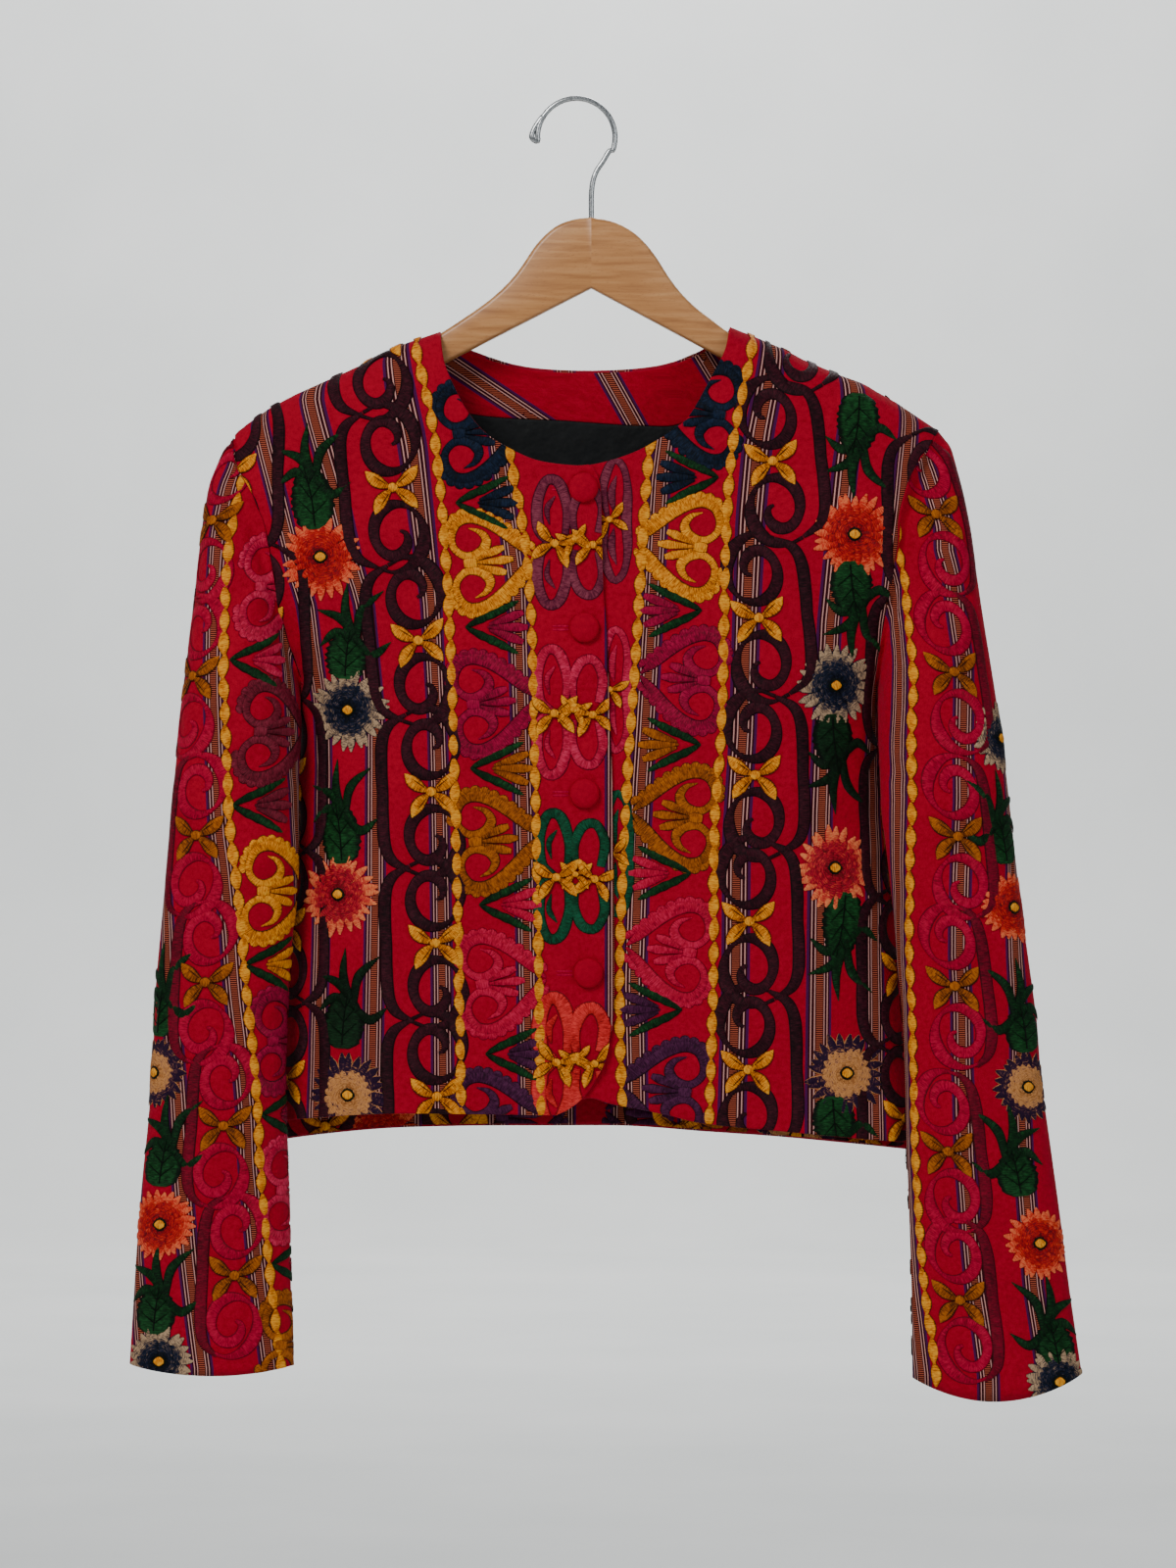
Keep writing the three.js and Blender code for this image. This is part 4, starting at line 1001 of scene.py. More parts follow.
def leaf(e, kind="green", length=44.0, lean=0.0):
    """A broad serrated blade and a sprig of slender leaves beyond its tip."""
    widths = []
    for k in range(21):
        t = k / 20
        full = 28 * math.sin(math.pi * min(1.0, 0.20 + 0.82 * t)) ** 0.85
        widths.append(max(0.5, full * (0.88 if k % 2 else 1.06)))
    widths[0], widths[-1] = 10.0, 0.5
    spine = [(0, 0), (lean * 0.3, length * 0.5), (lean, length)]
    e.stroke(spine, widths, kind, 0.0, (0.75, 0.6, 0.4), step=1.9)
    e.stroke([(0, 2), (lean * 0.3, length * 0.45), (lean * 0.9, length * 0.85)], [1.0, 0.9, 0.4], "ivy", 0.75,
             (0.0, 0.0), step=4)
    for up in (0.2, 0.42, 0.62):
        for hand in (1, -1):
            x = lean * up * 0.8
            vein = [(x, length * up), (x + hand * 9.5 * (1.15 - up), length * (up + 0.2))]
            e.stroke(vein, [0.8, 0.3], "ivy", 0.7, (0.0, 0.0), step=5)
    root = (lean * 0.6 + 5, length * 0.66)
    for turn, far, bend in ((-0.9, 32, 5), (-0.15, 37, -4), (0.5, 36, -6), (1.6, 22, 8), (-1.7, 24, 7)):
        c, d = math.sin(turn), math.cos(turn)
        path = [root, (root[0] + c * far * 0.5 + d * bend, root[1] + d * far * 0.5 - c * bend),
                (root[0] + c * far, root[1] + d * far)]
        e.stroke(path, [4.0, 5.6, 6.4, 4.4, 0.4], kind, 0.08, (0.3, 0.55), step=2.4)


def chain(e, points, kind="gold", pitch=14.6, wide=7.6):
    """Beads with pointed ends in a row along a line in cloth coordinates."""
    line = even(curve(points, 3.0), 0.5)
    along = np.r_[0, np.cumsum(np.linalg.norm(np.diff(line, axis=0), axis=1))]
    at = rng.uniform(0, pitch * 0.4)
    while at < along[-1]:
        k = min(int(np.searchsorted(along, at)), len(line) - 2)
        d = line[min(k + 4, len(line) - 1)] - line[max(k - 4, 0)]
        turn = math.atan2(d[1], d[0]) - math.pi / 2 + rng.uniform(-0.12, 0.12)
        e.at(line[k, 0], line[k, 1], 1, turn, rng.uniform(0.93, 1.05))
        e.stroke([(0, -pitch * 0.53), (0.3, 0), (0, pitch * 0.53)],
                 [1.6, wide * 0.72, wide, wide, wide * 0.72, 1.6], kind, 0.1, (0.45, 0.85, 0.5), step=2.4)
        at += pitch * rng.uniform(0.97, 1.04)


# one ribbon of a knot: its path, widths, lift, tones and step
KNOT_OVER = (
    ([(-13, 5), (-12, 22), (-17, 37), (-25, 38.5), (-30.5, 25), (-29.5, 8), (-22, 0)],
     (4.6, 6.2, 7.6, 6.6, 7.4, 8.0, 6.4), 0.0, (0.4, 0.75, 0.5, 0.8, 0.5), 2.4),
    ([(-7, 5), (-8.5, 19), (-3.5, 31), (5, 32.5), (10.5, 21), (8, 6)],
     (4.0, 5.8, 6.8, 6.0, 6.8, 5.6), 0.05, (0.35, 0.8, 0.5, 0.75), 2.4),
    ([(-23, 11), (-24.5, 21), (-19.5, 29)], (0.8, 3.4, 4.0, 0.8), 0.03, (0.3, 0.6), 2.2),
)
KNOT_UNDER = (
    ([(-5, 2), (-8.0, 20), (-2, 37), (4.5, 34), (7.6, 20), (6.8, 0)],
     (3.0, 5.6, 6.4, 5.0, 4.6, 6.4, 7.2), 0.0, (0.4, 0.75, 0.5, 0.8), 2.4),
    ([(-1, 5), (-2.5, 17), (0.5, 28)], (0.6, 4.4, 5.4, 3.8, 0.6), 0.05, (0.35, 0.8), 2.2),
)


def ribbon_knot(e, kind, ribbons=KNOT_OVER):
    """Looped ribbon ends above and below a row of gold bows."""
    wide = 1.35 if kind == "coral" else 1.0
    for up in (1, -1):
        for path, widths, lift, tones, step in ribbons:
            e.stroke([(a, up * b) for a, b in path], [wide * w for w in widths], kind, lift, tones, step)


def ribbon_bows(e, spots):
    s, z = e.origin
    for a, b, size in spots:
        e.at(s + a, z + b, 1, rng.uniform(-0.3, 0.3))
        bow(e, "gold", size, 0.95)
    e.at(s, z)


BOWS_OVER = ((-20, -1, 0.86), (-8, 1, 0.6), (4, -2, 0.8))
BOWS_UNDER = ((-4, 0, 0.66),)


# ---- where the motifs go, as (x, z) on the front --------------------------

BOWS_RIGHT = [(-115.3, -246.1), (-99.2, -342.2), (-91.1, -437.1), (-88.7, -532.0), (-87.4, -628.1)]
BOWS_LEFT = [(123.4, -229.4), (114.7, -328.0), (112.2, -426.6), (108.5, -518.3), (107.9, -611.3)]
OUTER_RIGHT = [(-104, -142), (-101.1, -154.4), (-88.7, -215.1), (-80.6, -308.1), (-76.3, -419.7),
               (-73.2, -556.1), (-71.9, -645)]
OUTER_LEFT = [(114, -142), (111.6, -153.1), (99.2, -215.1), (94.9, -264.7), (93.0, -332.9),
              (91.1, -401.1), (86.8, -463.1), (86.2, -556.1), (83.1, -655)]
INNER_RIGHT = [(-44, -205), (-40.9, -227.5), (-29.1, -308.1), (-24.8, -463.1), (-21.7, -645)]
INNER_LEFT = [(50, -200), (44.6, -239.9), (38.4, -339.1), (32.2, -432.1), (27.3, -556.1), (29.8, -645)]
HEARTS_RIGHT = [(-34, -208, "navy"), (-26.7, -289.5, "gold"), (-24.8, -378.2, "magenta"),
                (-23.6, -464.4, "ochre"), (-19.2, -553.7, "pink"), (-21.6, -640.5, "purple")]
HEARTS_LEFT = [(50, -196, "navy"), (38.4, -279.6, "gold"), (40.3, -363.3, "magenta"),
               (35.3, -449.5, "ochre"), (31.6, -533.8, "pink"), (28.5, -621.2, "purple")]
FANS_RIGHT = [(-75.6, -255.4, "navy"), (-69.4, -333.6, "magenta"), (-66.3, -422.2, "ochre"),
              (-60.8, -507.8, "pink"), (-56.8, -601.4, "purple")]
FANS_LEFT = [(89.3, -239.3, "navy"), (78.7, -323.0, "magenta"), (78.0, -407.3, "ochre"),
             (71.9, -487.9, "pink"), (66.3, -573.5, "purple")]
FLOWERS_RIGHT = [(-160.6, -289.5, "coral petal"), (-143.2, -385.6, "navy petal"),
                 (-149.4, -501.6, "pink petal"), (-143.2, -627.4, "beige petal")]
FLOWERS_LEFT = [(174.8, -275.3, "coral petal"), (163.1, -370.1, "navy petal"),
                (162.4, -484.8, "pink petal"), (169.9, -613.8, "beige petal")]
LEAVES_RIGHT = [(-164, -272, 46, -8, "green"), (-145, -366, 36, 4, "green"), (-147, -482, 44, -5, "green"),
                (-147, -598, 40, 4, "ivy")]
LEAVES_LEFT = [(178, -186, 46, -6, "green"), (172, -292, 40, 5, "green"), (161, -388, 40, 4, "ivy"),
               (169, -500, 48, -7, "green"), (161, -628, 40, 4, "green")]
RIBBONS = [(6.2, -280.2, "mauve"), (6.2, -386.9, "rose"), (7.4, -489.8, "jade"), (7.4, -605.7, "coral")]
BUTTONS = [(4.6, -246), (5.2, -334), (5.3, -438), (7.6, -550.5)]
BUTTON_R, BUTTON_H = 9.4, 4.4
BUTTONHOLE = [(-20, 0), (-10, 0)]
STRIPE_RIGHT = [(-168.6, -188), (-153, -244), (-140, -298), (-133.5, -317), (-125.7, -392), (-126, -500),
                (-128.6, -640)]
STRIPE_LEFT = [(176, -190), (170.5, -231), (160, -330), (154.4, -450), (152.5, -620)]


def body_guides(hand):
    """Nominal distance from the middle and the lines that stay at it."""
    if hand > 0:
        return [(30, INNER_RIGHT), (82, OUTER_RIGHT), (136, STRIPE_RIGHT)]
    return [(30, INNER_LEFT), (82, OUTER_LEFT), (136, STRIPE_LEFT)]


def front_stripe(surface, hand):
    """Maps cloth coordinates to the stripes' own: distance from the middle column."""
    heights = np.arange(-130.0, -680.0, -10.0)
    lines = [(0.0, np.full(len(heights), surface.s_of([(7, -400)])[0, 0]))]
    for nominal, points in body_guides(hand):
        p = surface.s_of(points)
        lines.append((nominal, np.interp(-heights, -p[:, 1], p[:, 0])))

    def stripe(s, z):
        made = np.zeros_like(s)
        at = [np.interp(-z, -heights, line) for _, line in lines]
        names = [n for n, _ in lines]
        toward = -hand * (s - at[0])
        spots = [np.maximum(-hand * (line - at[0]), 0) for line in at]
        for k in range(len(spots) - 1):
            t = (toward - spots[k]) / np.maximum(spots[k + 1] - spots[k], 1)
            value = names[k] + t * (names[k + 1] - names[k])
            here = (toward >= spots[k]) & (toward < spots[k + 1])
            made = np.where(here, value, made)
        made = np.where(toward >= spots[-1], names[-1] + toward - spots[-1], made)
        return np.where(toward < 0, toward, made)
    return stripe


def embroider_front(e, surface, hand, bows, outer, inner, hearts, fans, flowers, leaves):
    """One front's columns; hand 1 has the middle of the body on its right."""
    for s, z in surface.s_of(bows):
        slope = math.atan2(0.10, 1.0) * hand * (1 if z > -350 else 0.3)
        e.at(s, z, hand, slope)
        scroll(e)
    top_s, top_z = surface.s_of([bows[0]])[0]
    e.at(top_s - hand * 12, top_z + 96, hand, 0.12 * hand)
    scroll(e)
    for s, z in surface.s_of(bows):
        e.at(s - hand * 103, z + (10 if hand > 0 else -32), -hand, 0.0)
        scroll(e)
    for x, z, kind in hearts:
        s = surface.s_of([(x, z)])[0, 0]
        e.at(s, z, hand, 0.10)
        heart(e, kind)
    for x, z, kind in fans:
        s = surface.s_of([(x, z)])[0, 0]
        e.at(s, z, hand, 0.0, 0.98)
        fan(e, kind)
    chain(e, surface.s_of(outer))
    chain(e, surface.s_of(inner))
    for x, z, length, lean, kind in leaves:
        s = surface.s_of([(x, z)])[0, 0]
        e.at(s, z, hand, 0.0 if hand > 0 else math.pi)
        leaf(e, kind, length, lean)
    for x, z, kind in flowers:
        s = surface.s_of([(x, z)])[0, 0]
        e.at(s, z)
        flower(e, kind)


# ---- build: surfaces and outlines -----------------------------------------

THREAD_MATERIALS = {}
for label, tones in THREADS.items():
    THREAD_MATERIALS[label] = thread(f"thread {label}", [colour(tone) for tone in tones])

front_over = BodySurface(-1, -1)
front_under = BodySurface(-1, 1)
back_face = BodySurface(1)


def shoulder(x0, x1):
    """The top line between two places."""
    inside = TOP_LINE[(TOP_LINE[:, 0] > min(x0, x1)) & (TOP_LINE[:, 0] < max(x0, x1))]
    ends = [(x, np.interp(x, TOP_LINE[:, 0], TOP_LINE[:, 1])) for x in (x0, x1)]
    middle = inside if x0 < x1 else inside[::-1]
    return np.vstack([ends[:1], middle, ends[1:]])


def side_line(name, z0, z1):
    heights = np.linspace(z0, z1, 60)
    return np.column_stack([[level(name, h) for h in heights], heights])


def to_cloth(surface, parts):
    """One closed outline in cloth coordinates from lines of (x, z)."""
    return Outline(np.vstack([surface.s_of(np.asarray(p)) for p in parts]))


right_outline = to_cloth(front_over, [
    curve(NECK_FRONT_RIGHT), curve(FRONT_EDGE_RIGHT)[1:], curve(HEM_FRONT_RIGHT)[1:],
    side_line("left", -645, -371), curve(ARMHOLE_RIGHT, 2)[::-1], shoulder(-215.6, -86)[:-1]])
left_outline = to_cloth(front_under, [
    curve(NECK_FRONT_LEFT), shoulder(96.7, 228.3)[1:], curve(ARMHOLE_LEFT, 2),
    side_line("right", -371, -659), curve(HEM_FRONT_LEFT)[::-1]])
back_outline = to_cloth(back_face, [
    curve(NECK_BACK), shoulder(96.7, 228.3)[1:], curve(ARMHOLE_LEFT, 2),
    side_line("right", -371, -664.5), curve(HEM_BACK)[::-1], side_line("left", -659, -371),
    curve(ARMHOLE_RIGHT, 2)[::-1], shoulder(-215.6, -86)[:-1]])

cloth = striped_cloth("striped red cloth")
reverse = striped_cloth("reverse of the cloth", reverse=True)


def dress(piece, node, slot):
    """Attaches a sheet of cloth to the root and hides the solid it stands in for."""
    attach(piece, "root")
    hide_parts(node)


def stitched(embroidery, name):
    piece = embroidery.build(name)
    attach(piece, "root")
    return piece


piece = cloth_panel("front_right_cloth", front_over, right_outline, [cloth, reverse],
                    front_stripe(front_over, 1))
dress(piece, "front_right", "embroidered_cloth")
piece = cloth_panel("front_left_cloth", front_under, left_outline, [cloth, reverse],
                    front_stripe(front_under, -1))
dress(piece, "front_left", "embroidered_cloth")

e = Embroidery(front_over, right_outline)
for x, z, kind in RIBBONS:
    e.at(front_over.s_of([(x, z)])[0, 0], z)
    ribbon_knot(e, kind)
    ribbon_bows(e, BOWS_OVER)
for x, z in BUTTONS:
    s = front_over.s_of([(x, z)])[0, 0]
    for up in (1.1, -1.1):
        e.at(s, z + up)
        e.stroke(BUTTONHOLE, [0.8, 1.5, 1.5, 0.8], "crimson", -0.1, (0.7, 0.8), rise=0.3)
embroider_front(e, front_over, 1, BOWS_RIGHT, OUTER_RIGHT, INNER_RIGHT, HEARTS_RIGHT, FANS_RIGHT,
                FLOWERS_RIGHT, LEAVES_RIGHT)
stitched(e, "front_right_embroidery")
e = Embroidery(front_under, left_outline, rise=0.6)
for x, z, kind in RIBBONS[:3]:
    e.at(front_under.s_of([(x + 18.5, z)])[0, 0], z + 14)
    ribbon_knot(e, kind, KNOT_UNDER)
    ribbon_bows(e, BOWS_UNDER)
embroider_front(e, front_under, -1, BOWS_LEFT, OUTER_LEFT, INNER_LEFT, HEARTS_LEFT, FANS_LEFT,
                FLOWERS_LEFT, LEAVES_LEFT)
stitched(e, "front_left_embroidery")


# ---- the back and its inner layers ----------------------------------------

def back_stripe(s, z):
    """On the back a flower column is in the middle and a ribbon column at each side."""
    return 154 - np.abs(s - BACK_MIDDLE)


piece = cloth_panel("back_cloth", back_face, back_outline, [cloth, reverse], back_stripe)
dress(piece, "back", "embroidered_cloth")

HEART_KINDS = ("gold", "magenta", "ochre", "pink", "purple", "navy")
RIBBON_KINDS = ("mauve", "rose", "jade", "coral")
FLOWER_KINDS = ("coral petal", "navy petal", "pink petal", "beige petal")
# chains of the back: top, and distance from the middle at the top, half way down and at the hem
BACK_CHAINS_INNER = ((-140, 72, 73, 72), (-150, 126, 125, 126))
BACK_CHAIN_OUTER = (-190, 190, 190, 190)


def back_chain(e, hand, top, *away):
    """A chain of beads down the back at three distances from its middle."""
    heights = (top, -400, -668)
    chain(e, np.array([(BACK_MIDDLE - hand * far, z) for far, z in zip(away, heights)]))


def embroider_back(e):
    """Mirrored columns on each side of a middle column of flowers."""
    for hand in (1, -1):
        for n in range(6):
            e.at(BACK_MIDDLE - hand * 52, -200 - n * 96, hand)
            scroll(e)
        for n in range(6):
            z = -178 - n * 88
            e.at(BACK_MIDDLE - hand * 124, z, -hand, 0.08)
            heart(e, HEART_KINDS[(n + 5) % 6])
            e.at(BACK_MIDDLE - hand * 78, z - 44, -hand)
            fan(e, HEART_KINDS[n % 6])
        for top, *away in BACK_CHAINS_INNER:
            back_chain(e, hand, top, *away)
        for n in range(5):
            e.at(BACK_MIDDLE - hand * 160, -228 - n * 106, hand)
            ribbon_knot(e, RIBBON_KINDS[n % 4])
            ribbon_bows(e, BOWS_OVER)
        back_chain(e, hand, *BACK_CHAIN_OUTER)
    for n in range(5):
        z = -214 - n * 104
        e.at(BACK_MIDDLE, z - 66, 1)
        leaf(e, "green" if n % 2 == 0 else "ivy", 40, -3 if n % 2 else 3)
        e.at(BACK_MIDDLE, z)
        flower(e, FLOWER_KINDS[n % 4], 23)


e = Embroidery(back_face, back_outline)
embroider_back(e)
stitched(e, "back_embroidery")


def strip(lines):
    return to_cloth(back_face, lines)


BACK_INSIDE_TOP = [(x, z - 1.5) for x, z in NECK_BACK]
facing_outline = strip([curve(BACK_INSIDE_TOP), shoulder(97.5, 138) - (0, 1.5), curve(FACING_LOW)[::-1],
                        shoulder(-128, -87) - (0, 1.5)])
lining_outline = strip([curve(FACING_LOW) - (0, 0.4), shoulder(141, 224) - (0, 1.6),
                        curve([(x + 1.8, z) for x, z in ARMHOLE_LEFT], 2)[1:],
                        side_line("right", -374, -626) - (3, 0), curve(TURN_UP_TOP)[::-1] + (0, 0.4),
                        side_line("left", -622, -374) + (3, 0),
                        curve([(x - 1.8, z) for x, z in ARMHOLE_RIGHT], 2)[::-1][:-1],
                        shoulder(-211, -131) - (0, 1.6)])
turn_up_outline = strip([curve(TURN_UP_TOP), side_line("right", -629, -663) - (3, 0),
                         curve([(x, z + 1.2) for x, z in HEM_BACK])[::-1][3:-3],
                         side_line("left", -657.5, -623) + (3, 0)])


def satin_lining():
    """Black twill lining with a soft sheen."""
    material, tree, shader = start("black lining")
    place = cloth_place(tree)
    weave = add(tree, "ShaderNodeGroup", {}, node_tree=WEAVE)
    tree.links.new(place.outputs[0], weave.inputs[0])
    tone = ramp(tree, weave.outputs[1], [(0.3, colour("040506")), (0.7, colour("101214"))])
    tree.links.new(tone, shader.inputs["Base Color"])
    shader.inputs["Roughness"].default_value = 0.6
    shader.inputs["Specular IOR Level"].default_value = 0.15
    soft = add(tree, "ShaderNodeTexNoise", {"Vector": place.outputs[0], "Scale": 0.05, "Detail": 3.0})
    bump = add(tree, "ShaderNodeBump", {"Height": soft.outputs[0], "Strength": 0.5, "Distance": 0.004})
    tree.links.new(bump.outputs[0], shader.inputs["Normal"])
    return material


lining = satin_lining()
FACING_BANDS = ((-53, -182, -34), (29, -188, -61), (86, -168, -59))


def facing_stripe(s, z):
    """The facing is cut on the bias, so its bands slant, each at its own angle in degrees."""
    away = np.full_like(s, 25.0)
    for x, height, angle in FACING_BANDS:
        turn = math.radians(angle)
        middle = back_face.s_of([(x, height)])[0, 0]
        off = (s - middle) * math.sin(turn) - (z - height) * math.cos(turn)
        away = np.minimum(np.abs(off), away)
    return 38 + away


def plain(s, z):
    return s * 1.0


for node, outline, face, slot in (
        ("back_neck_facing", facing_outline, cloth, "embroidered_cloth"),
        ("back_lining", lining_outline, lining, "lining"),
        ("back_hem_turn_up", turn_up_outline, cloth, "embroidered_cloth")):
    stripe = {"back_neck_facing": facing_stripe, "back_lining": plain}.get(node, back_stripe)
    piece = cloth_panel(f"{node}_cloth", back_face, outline, [face, face], stripe, -LAYER_IN, LAYER)
    dress(piece, node, slot)

def embroider_turn_up(e):
    """The lower ends of the back's motifs, turned up inside the hem."""
    for s, z, hand in ((-168, -610, 1), (-84, -612, -1), (58, -612, 1), (176, -616, -1)):
        e.at(s, z, hand)
        scroll(e)
        bow(e.at(s, z - 40), "gold")
    for s, kind, hand in ((-14, "purple", 1), (12, "purple", -1), (104, "ochre", 1)):
        e.at(s, -640, hand, 0.1)
        heart(e, kind)
    for s, kind in ((-132, "coral petal"), (134, "beige petal")):
        e.at(s, -656)
        flower(e, kind)
    for s in (70, -66):
        chain(e, np.array([(s, -612), (s, -670)]))


e = Embroidery(back_face, turn_up_outline, -LAYER_IN - LAYER, 0.6, inside=True)
embroider_turn_up(e)
stitched(e, "hem_turn_up_embroidery")


# ---- sleeves --------------------------------------------------------------

SLEEVE_R = {
    "chain": [(-206, -222), (-212.7, -249.2), (-220.1, -332.9), (-218.9, -398.0), (-215.8, -463.1),
              (-208.9, -525.1), (-202.7, -593.3), (-198.4, -661.5), (-192.8, -729.7), (-184.8, -797.9)],
    "bows": [(-228.8, -266.6), (-239.9, -364.6), (-237.5, -464.4), (-231.9, -556.1), (-220.7, -646.0),
             (-213.9, -739.7)],
    "hearts": [(-197.2, -308.1, "rose"), (-195.9, -399.3, "wine"), (-194.1, -499, "gold"),
               (-189.1, -593.3, "magenta"), (-184, -687, "rose"), (-184, -784, "ochre")],
    "flowers": [(-264.1, -613.2, "beige petal"), (-260.4, -708.0, "coral petal"),
                (-261.0, -793.6, "navy petal")],
    "leaves": [(-261.0, -684.0), (-264.7, -776.4), (-262, -590)],
}
SLEEVE_L = {
    "chain": [(202.1, -270), (202.1, -285.2), (206.5, -306.9), (210.8, -357.7), (209.6, -401.8),
              (210.2, -441.4), (208.9, -489.2), (208.9, -539.4), (210.8, -584.0), (212.0, -625.0),
              (212.7, -666.5), (215.1, -708.0), (218.2, -747.1), (222.0, -774.4), (225.7, -815)],
    "bows": [(226.3, -262.9), (236.2, -362.1), (238.7, -465.0), (236.8, -558.6), (233.1, -662.2),
             (240.6, -755.2)],
    "hearts": [],
    "flowers": [(266.0, -403.6, "navy petal"), (274.0, -509.6, "coral petal"),
                (282.7, -621.9, "beige petal"), (290.2, -719.8, "coral petal"),
                (302.6, -806.6, "navy petal")],
    "leaves": [(269.7, -482), (282.1, -600), (278.4, -690), (302.6, -797.5)],
}


def embroider_sleeve(e, surface, plan):
    bows = surface.s_of(plan["bows"])
    for s, z in bows:
        e.at(s, z, 1, 0.0)
        scroll(e, "crimson", 49, 0.92, "ochre", 0.66, 0.37, "dark crimson")
    e.at(bows[0, 0], bows[0, 1] + 94, 1)
    scroll(e, "crimson", 46, 0.85, "ochre", 0.6, 0.37, "dark crimson")
    line = surface.s_of(plan["chain"])
    for x, z, kind in plan["hearts"]:
        e.at(surface.s_of([(x, z)])[0, 0] + 38, z, 1)
        heart(e, kind)
        s = np.interp(z, line[::-1, 1], line[::-1, 0])
        e.at(s + 8, z - 46, 1)
        fan(e, kind)
    chain(e, line)
    for x, z in surface.s_of(plan["leaves"]):
        e.at(x, z, 1)
        leaf(e, "green", 34, 3)
    for x, z, kind in plan["flowers"]:
        e.at(surface.s_of([(x, z)])[0, 0], z)
        flower(e, kind, 22)
    chain(e, np.column_stack([np.full(8, -70.0), np.linspace(-230, -820, 8)]))
    for n in range(7):
        z = -262 - n * 94
        e.at(-46, z, -1)
        scroll(e, "maroon", 47, 0.9)
        e.at(-72, z - 30, 1, 0.0, 0.9)
        heart(e, HEART_KINDS[n % 6])


def sleeve_stripe(line, at_chain):
    """The stripes run with the sleeve's chain of beads."""
    def stripe(s, z):
        return at_chain + np.interp(-z, -line[:, 1], line[:, 0]) - s
    return stripe


for label, armhole, table, drop, creases, outward, plan, at_chain in (
        ("right", ARMHOLE_RIGHT, SLEEVE_RIGHT, CUFF_DROP_RIGHT, SLEEVE_CREASES_RIGHT, -1, SLEEVE_R, 85.5),
        ("left", ARMHOLE_LEFT, SLEEVE_LEFT, CUFF_DROP_LEFT, SLEEVE_CREASES_LEFT, 1, SLEEVE_L, 103.0)):
    surface = SleeveSurface(armhole, table, drop, creases, outward)
    outline = surface.outline()
    stripe = sleeve_stripe(surface.s_of(plan["chain"]), at_chain)
    piece = sleeve_shell(f"sleeve_{label}_cloth", surface, [cloth, reverse], stripe)
    dress(piece, f"sleeve_{label}", "embroidered_cloth")
    e = Embroidery(surface, outline)
    embroider_sleeve(e, surface, plan)
    stitched(e, f"sleeve_{label}_embroidery")


# ---- buttons, hanger and hook ---------------------------------------------


def button_cloth():
    material, tree, shader = start("button cloth")
    place = add(tree, "ShaderNodeTexCoord").outputs["Object"]
    scaled = add(tree, "ShaderNodeVectorMath", {0: place, "Scale": 1000.0}, operation="SCALE")
    flat = add(tree, "ShaderNodeSeparateXYZ", {0: scaled.outputs[0]})
    across = add(tree, "ShaderNodeCombineXYZ", {0: flat.outputs[0], 1: flat.outputs[2]})
    weave = add(tree, "ShaderNodeGroup", {}, node_tree=WEAVE)
    tree.links.new(across.outputs[0], weave.inputs[0])
    tone = ramp(tree, weave.outputs[1], [(0.3, colour("84001a")), (0.7, colour("a40224"))])
    tree.links.new(tone, shader.inputs["Base Color"])
    shader.inputs["Roughness"].default_value = 0.8
    shader.inputs["Specular IOR Level"].default_value = 0.08
    bump = add(tree, "ShaderNodeBump", {"Height": weave.outputs[0], "Strength": 0.4, "Distance": 0.0005})
    tree.links.new(bump.outputs[0], shader.inputs["Normal"])
    return material


BUTTON_SIDES, BUTTON_RIM = 48, 2.0  # points round a button, and height of its widest part


def covered_button(name, x, z, material):
    """A button turned from its profile, on the front's cloth at (x, z)."""
    s = front_over.s_of([(x, z)])[0, 0]
    seat = front_over.place(np.array([s]), np.array([float(z)]), np.array([0.3]))[0]
    profile = [(0.0, 0.0), (BUTTON_R - 1.6, 0.0), (BUTTON_R - 0.4, 0.5), (BUTTON_R, 1.3),
               (BUTTON_R - 0.15, BUTTON_RIM)]
    for k in range(1, 8):
        turn = k / 7 * math.pi / 2
        high = BUTTON_RIM + (BUTTON_H - BUTTON_RIM) * math.sin(turn)
        profile.append((BUTTON_R * math.cos(turn) * 0.98, high))
    points = []
    for r, h in profile:
        for k in range(BUTTON_SIDES):
            turn = 2 * math.pi * k / BUTTON_SIDES
            points.append((x + r * math.cos(turn), seat[1] - h, z + r * math.sin(turn)))
    return new_object(name, points, skin(len(profile), BUTTON_SIDES), [material])


button_material = button_cloth()
for number, (x, z) in enumerate(BUTTONS, 1):
    piece = covered_button(f"covered_button_{number}", x, z, button_material)
    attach(piece, "root")
    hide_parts(f"button_{number}")


ARM_TOP_RIGHT = [
    (HANGER_MIDDLE, -73.9), (18, -75), (27, -77.7), (36.3, -83), (44.1, -90.5), (51.3, -100),
    (58.2, -111), (65.9, -121.1), (75.3, -130.4), (84.7, -137.6), (96, -146), (120, -160.5),
    (144, -172.5), (169, -182.5), (196, -197), (209, -206), (213, -212),
]
ARM_LOW_RIGHT = [
    (212, -219.5), (205, -223), (190, -213), (160, -197), (128, -181), (92.4, -163),
    (HANGER_MIDDLE, -118.6),
]
ARM_TOP_LEFT = [
    (HANGER_MIDDLE, -73.9), (2, -74.4), (-4.3, -75.8), (-12.1, -78.9), (-19.3, -84.5), (-26.2, -92),
    (-32.4, -101.4), (-38.6, -110.1), (-46.4, -118.5), (-55.8, -126.7), (-66.7, -134.5),
    (-84.9, -146.5), (-110, -161.5), (-129, -169), (-178, -193.5), (-192, -204), (-198.5, -211),
]
ARM_LOW_LEFT = [
    (-198, -216.5), (-192, -219.5), (-184, -216.5), (-160, -202), (-120, -182.5), (-83, -166),
    (HANGER_MIDDLE, -118.6),
]
# the arm's rounded edge: depth, and how far the outline is drawn in there
ARM_EDGE = (
    (-5.5, 2.8), (-5.1, 1.6), (-4.3, 0.7), (-3.0, 0.1), (3.0, 0.1), (4.3, 0.7), (5.1, 1.6), (5.5, 2.8),
)


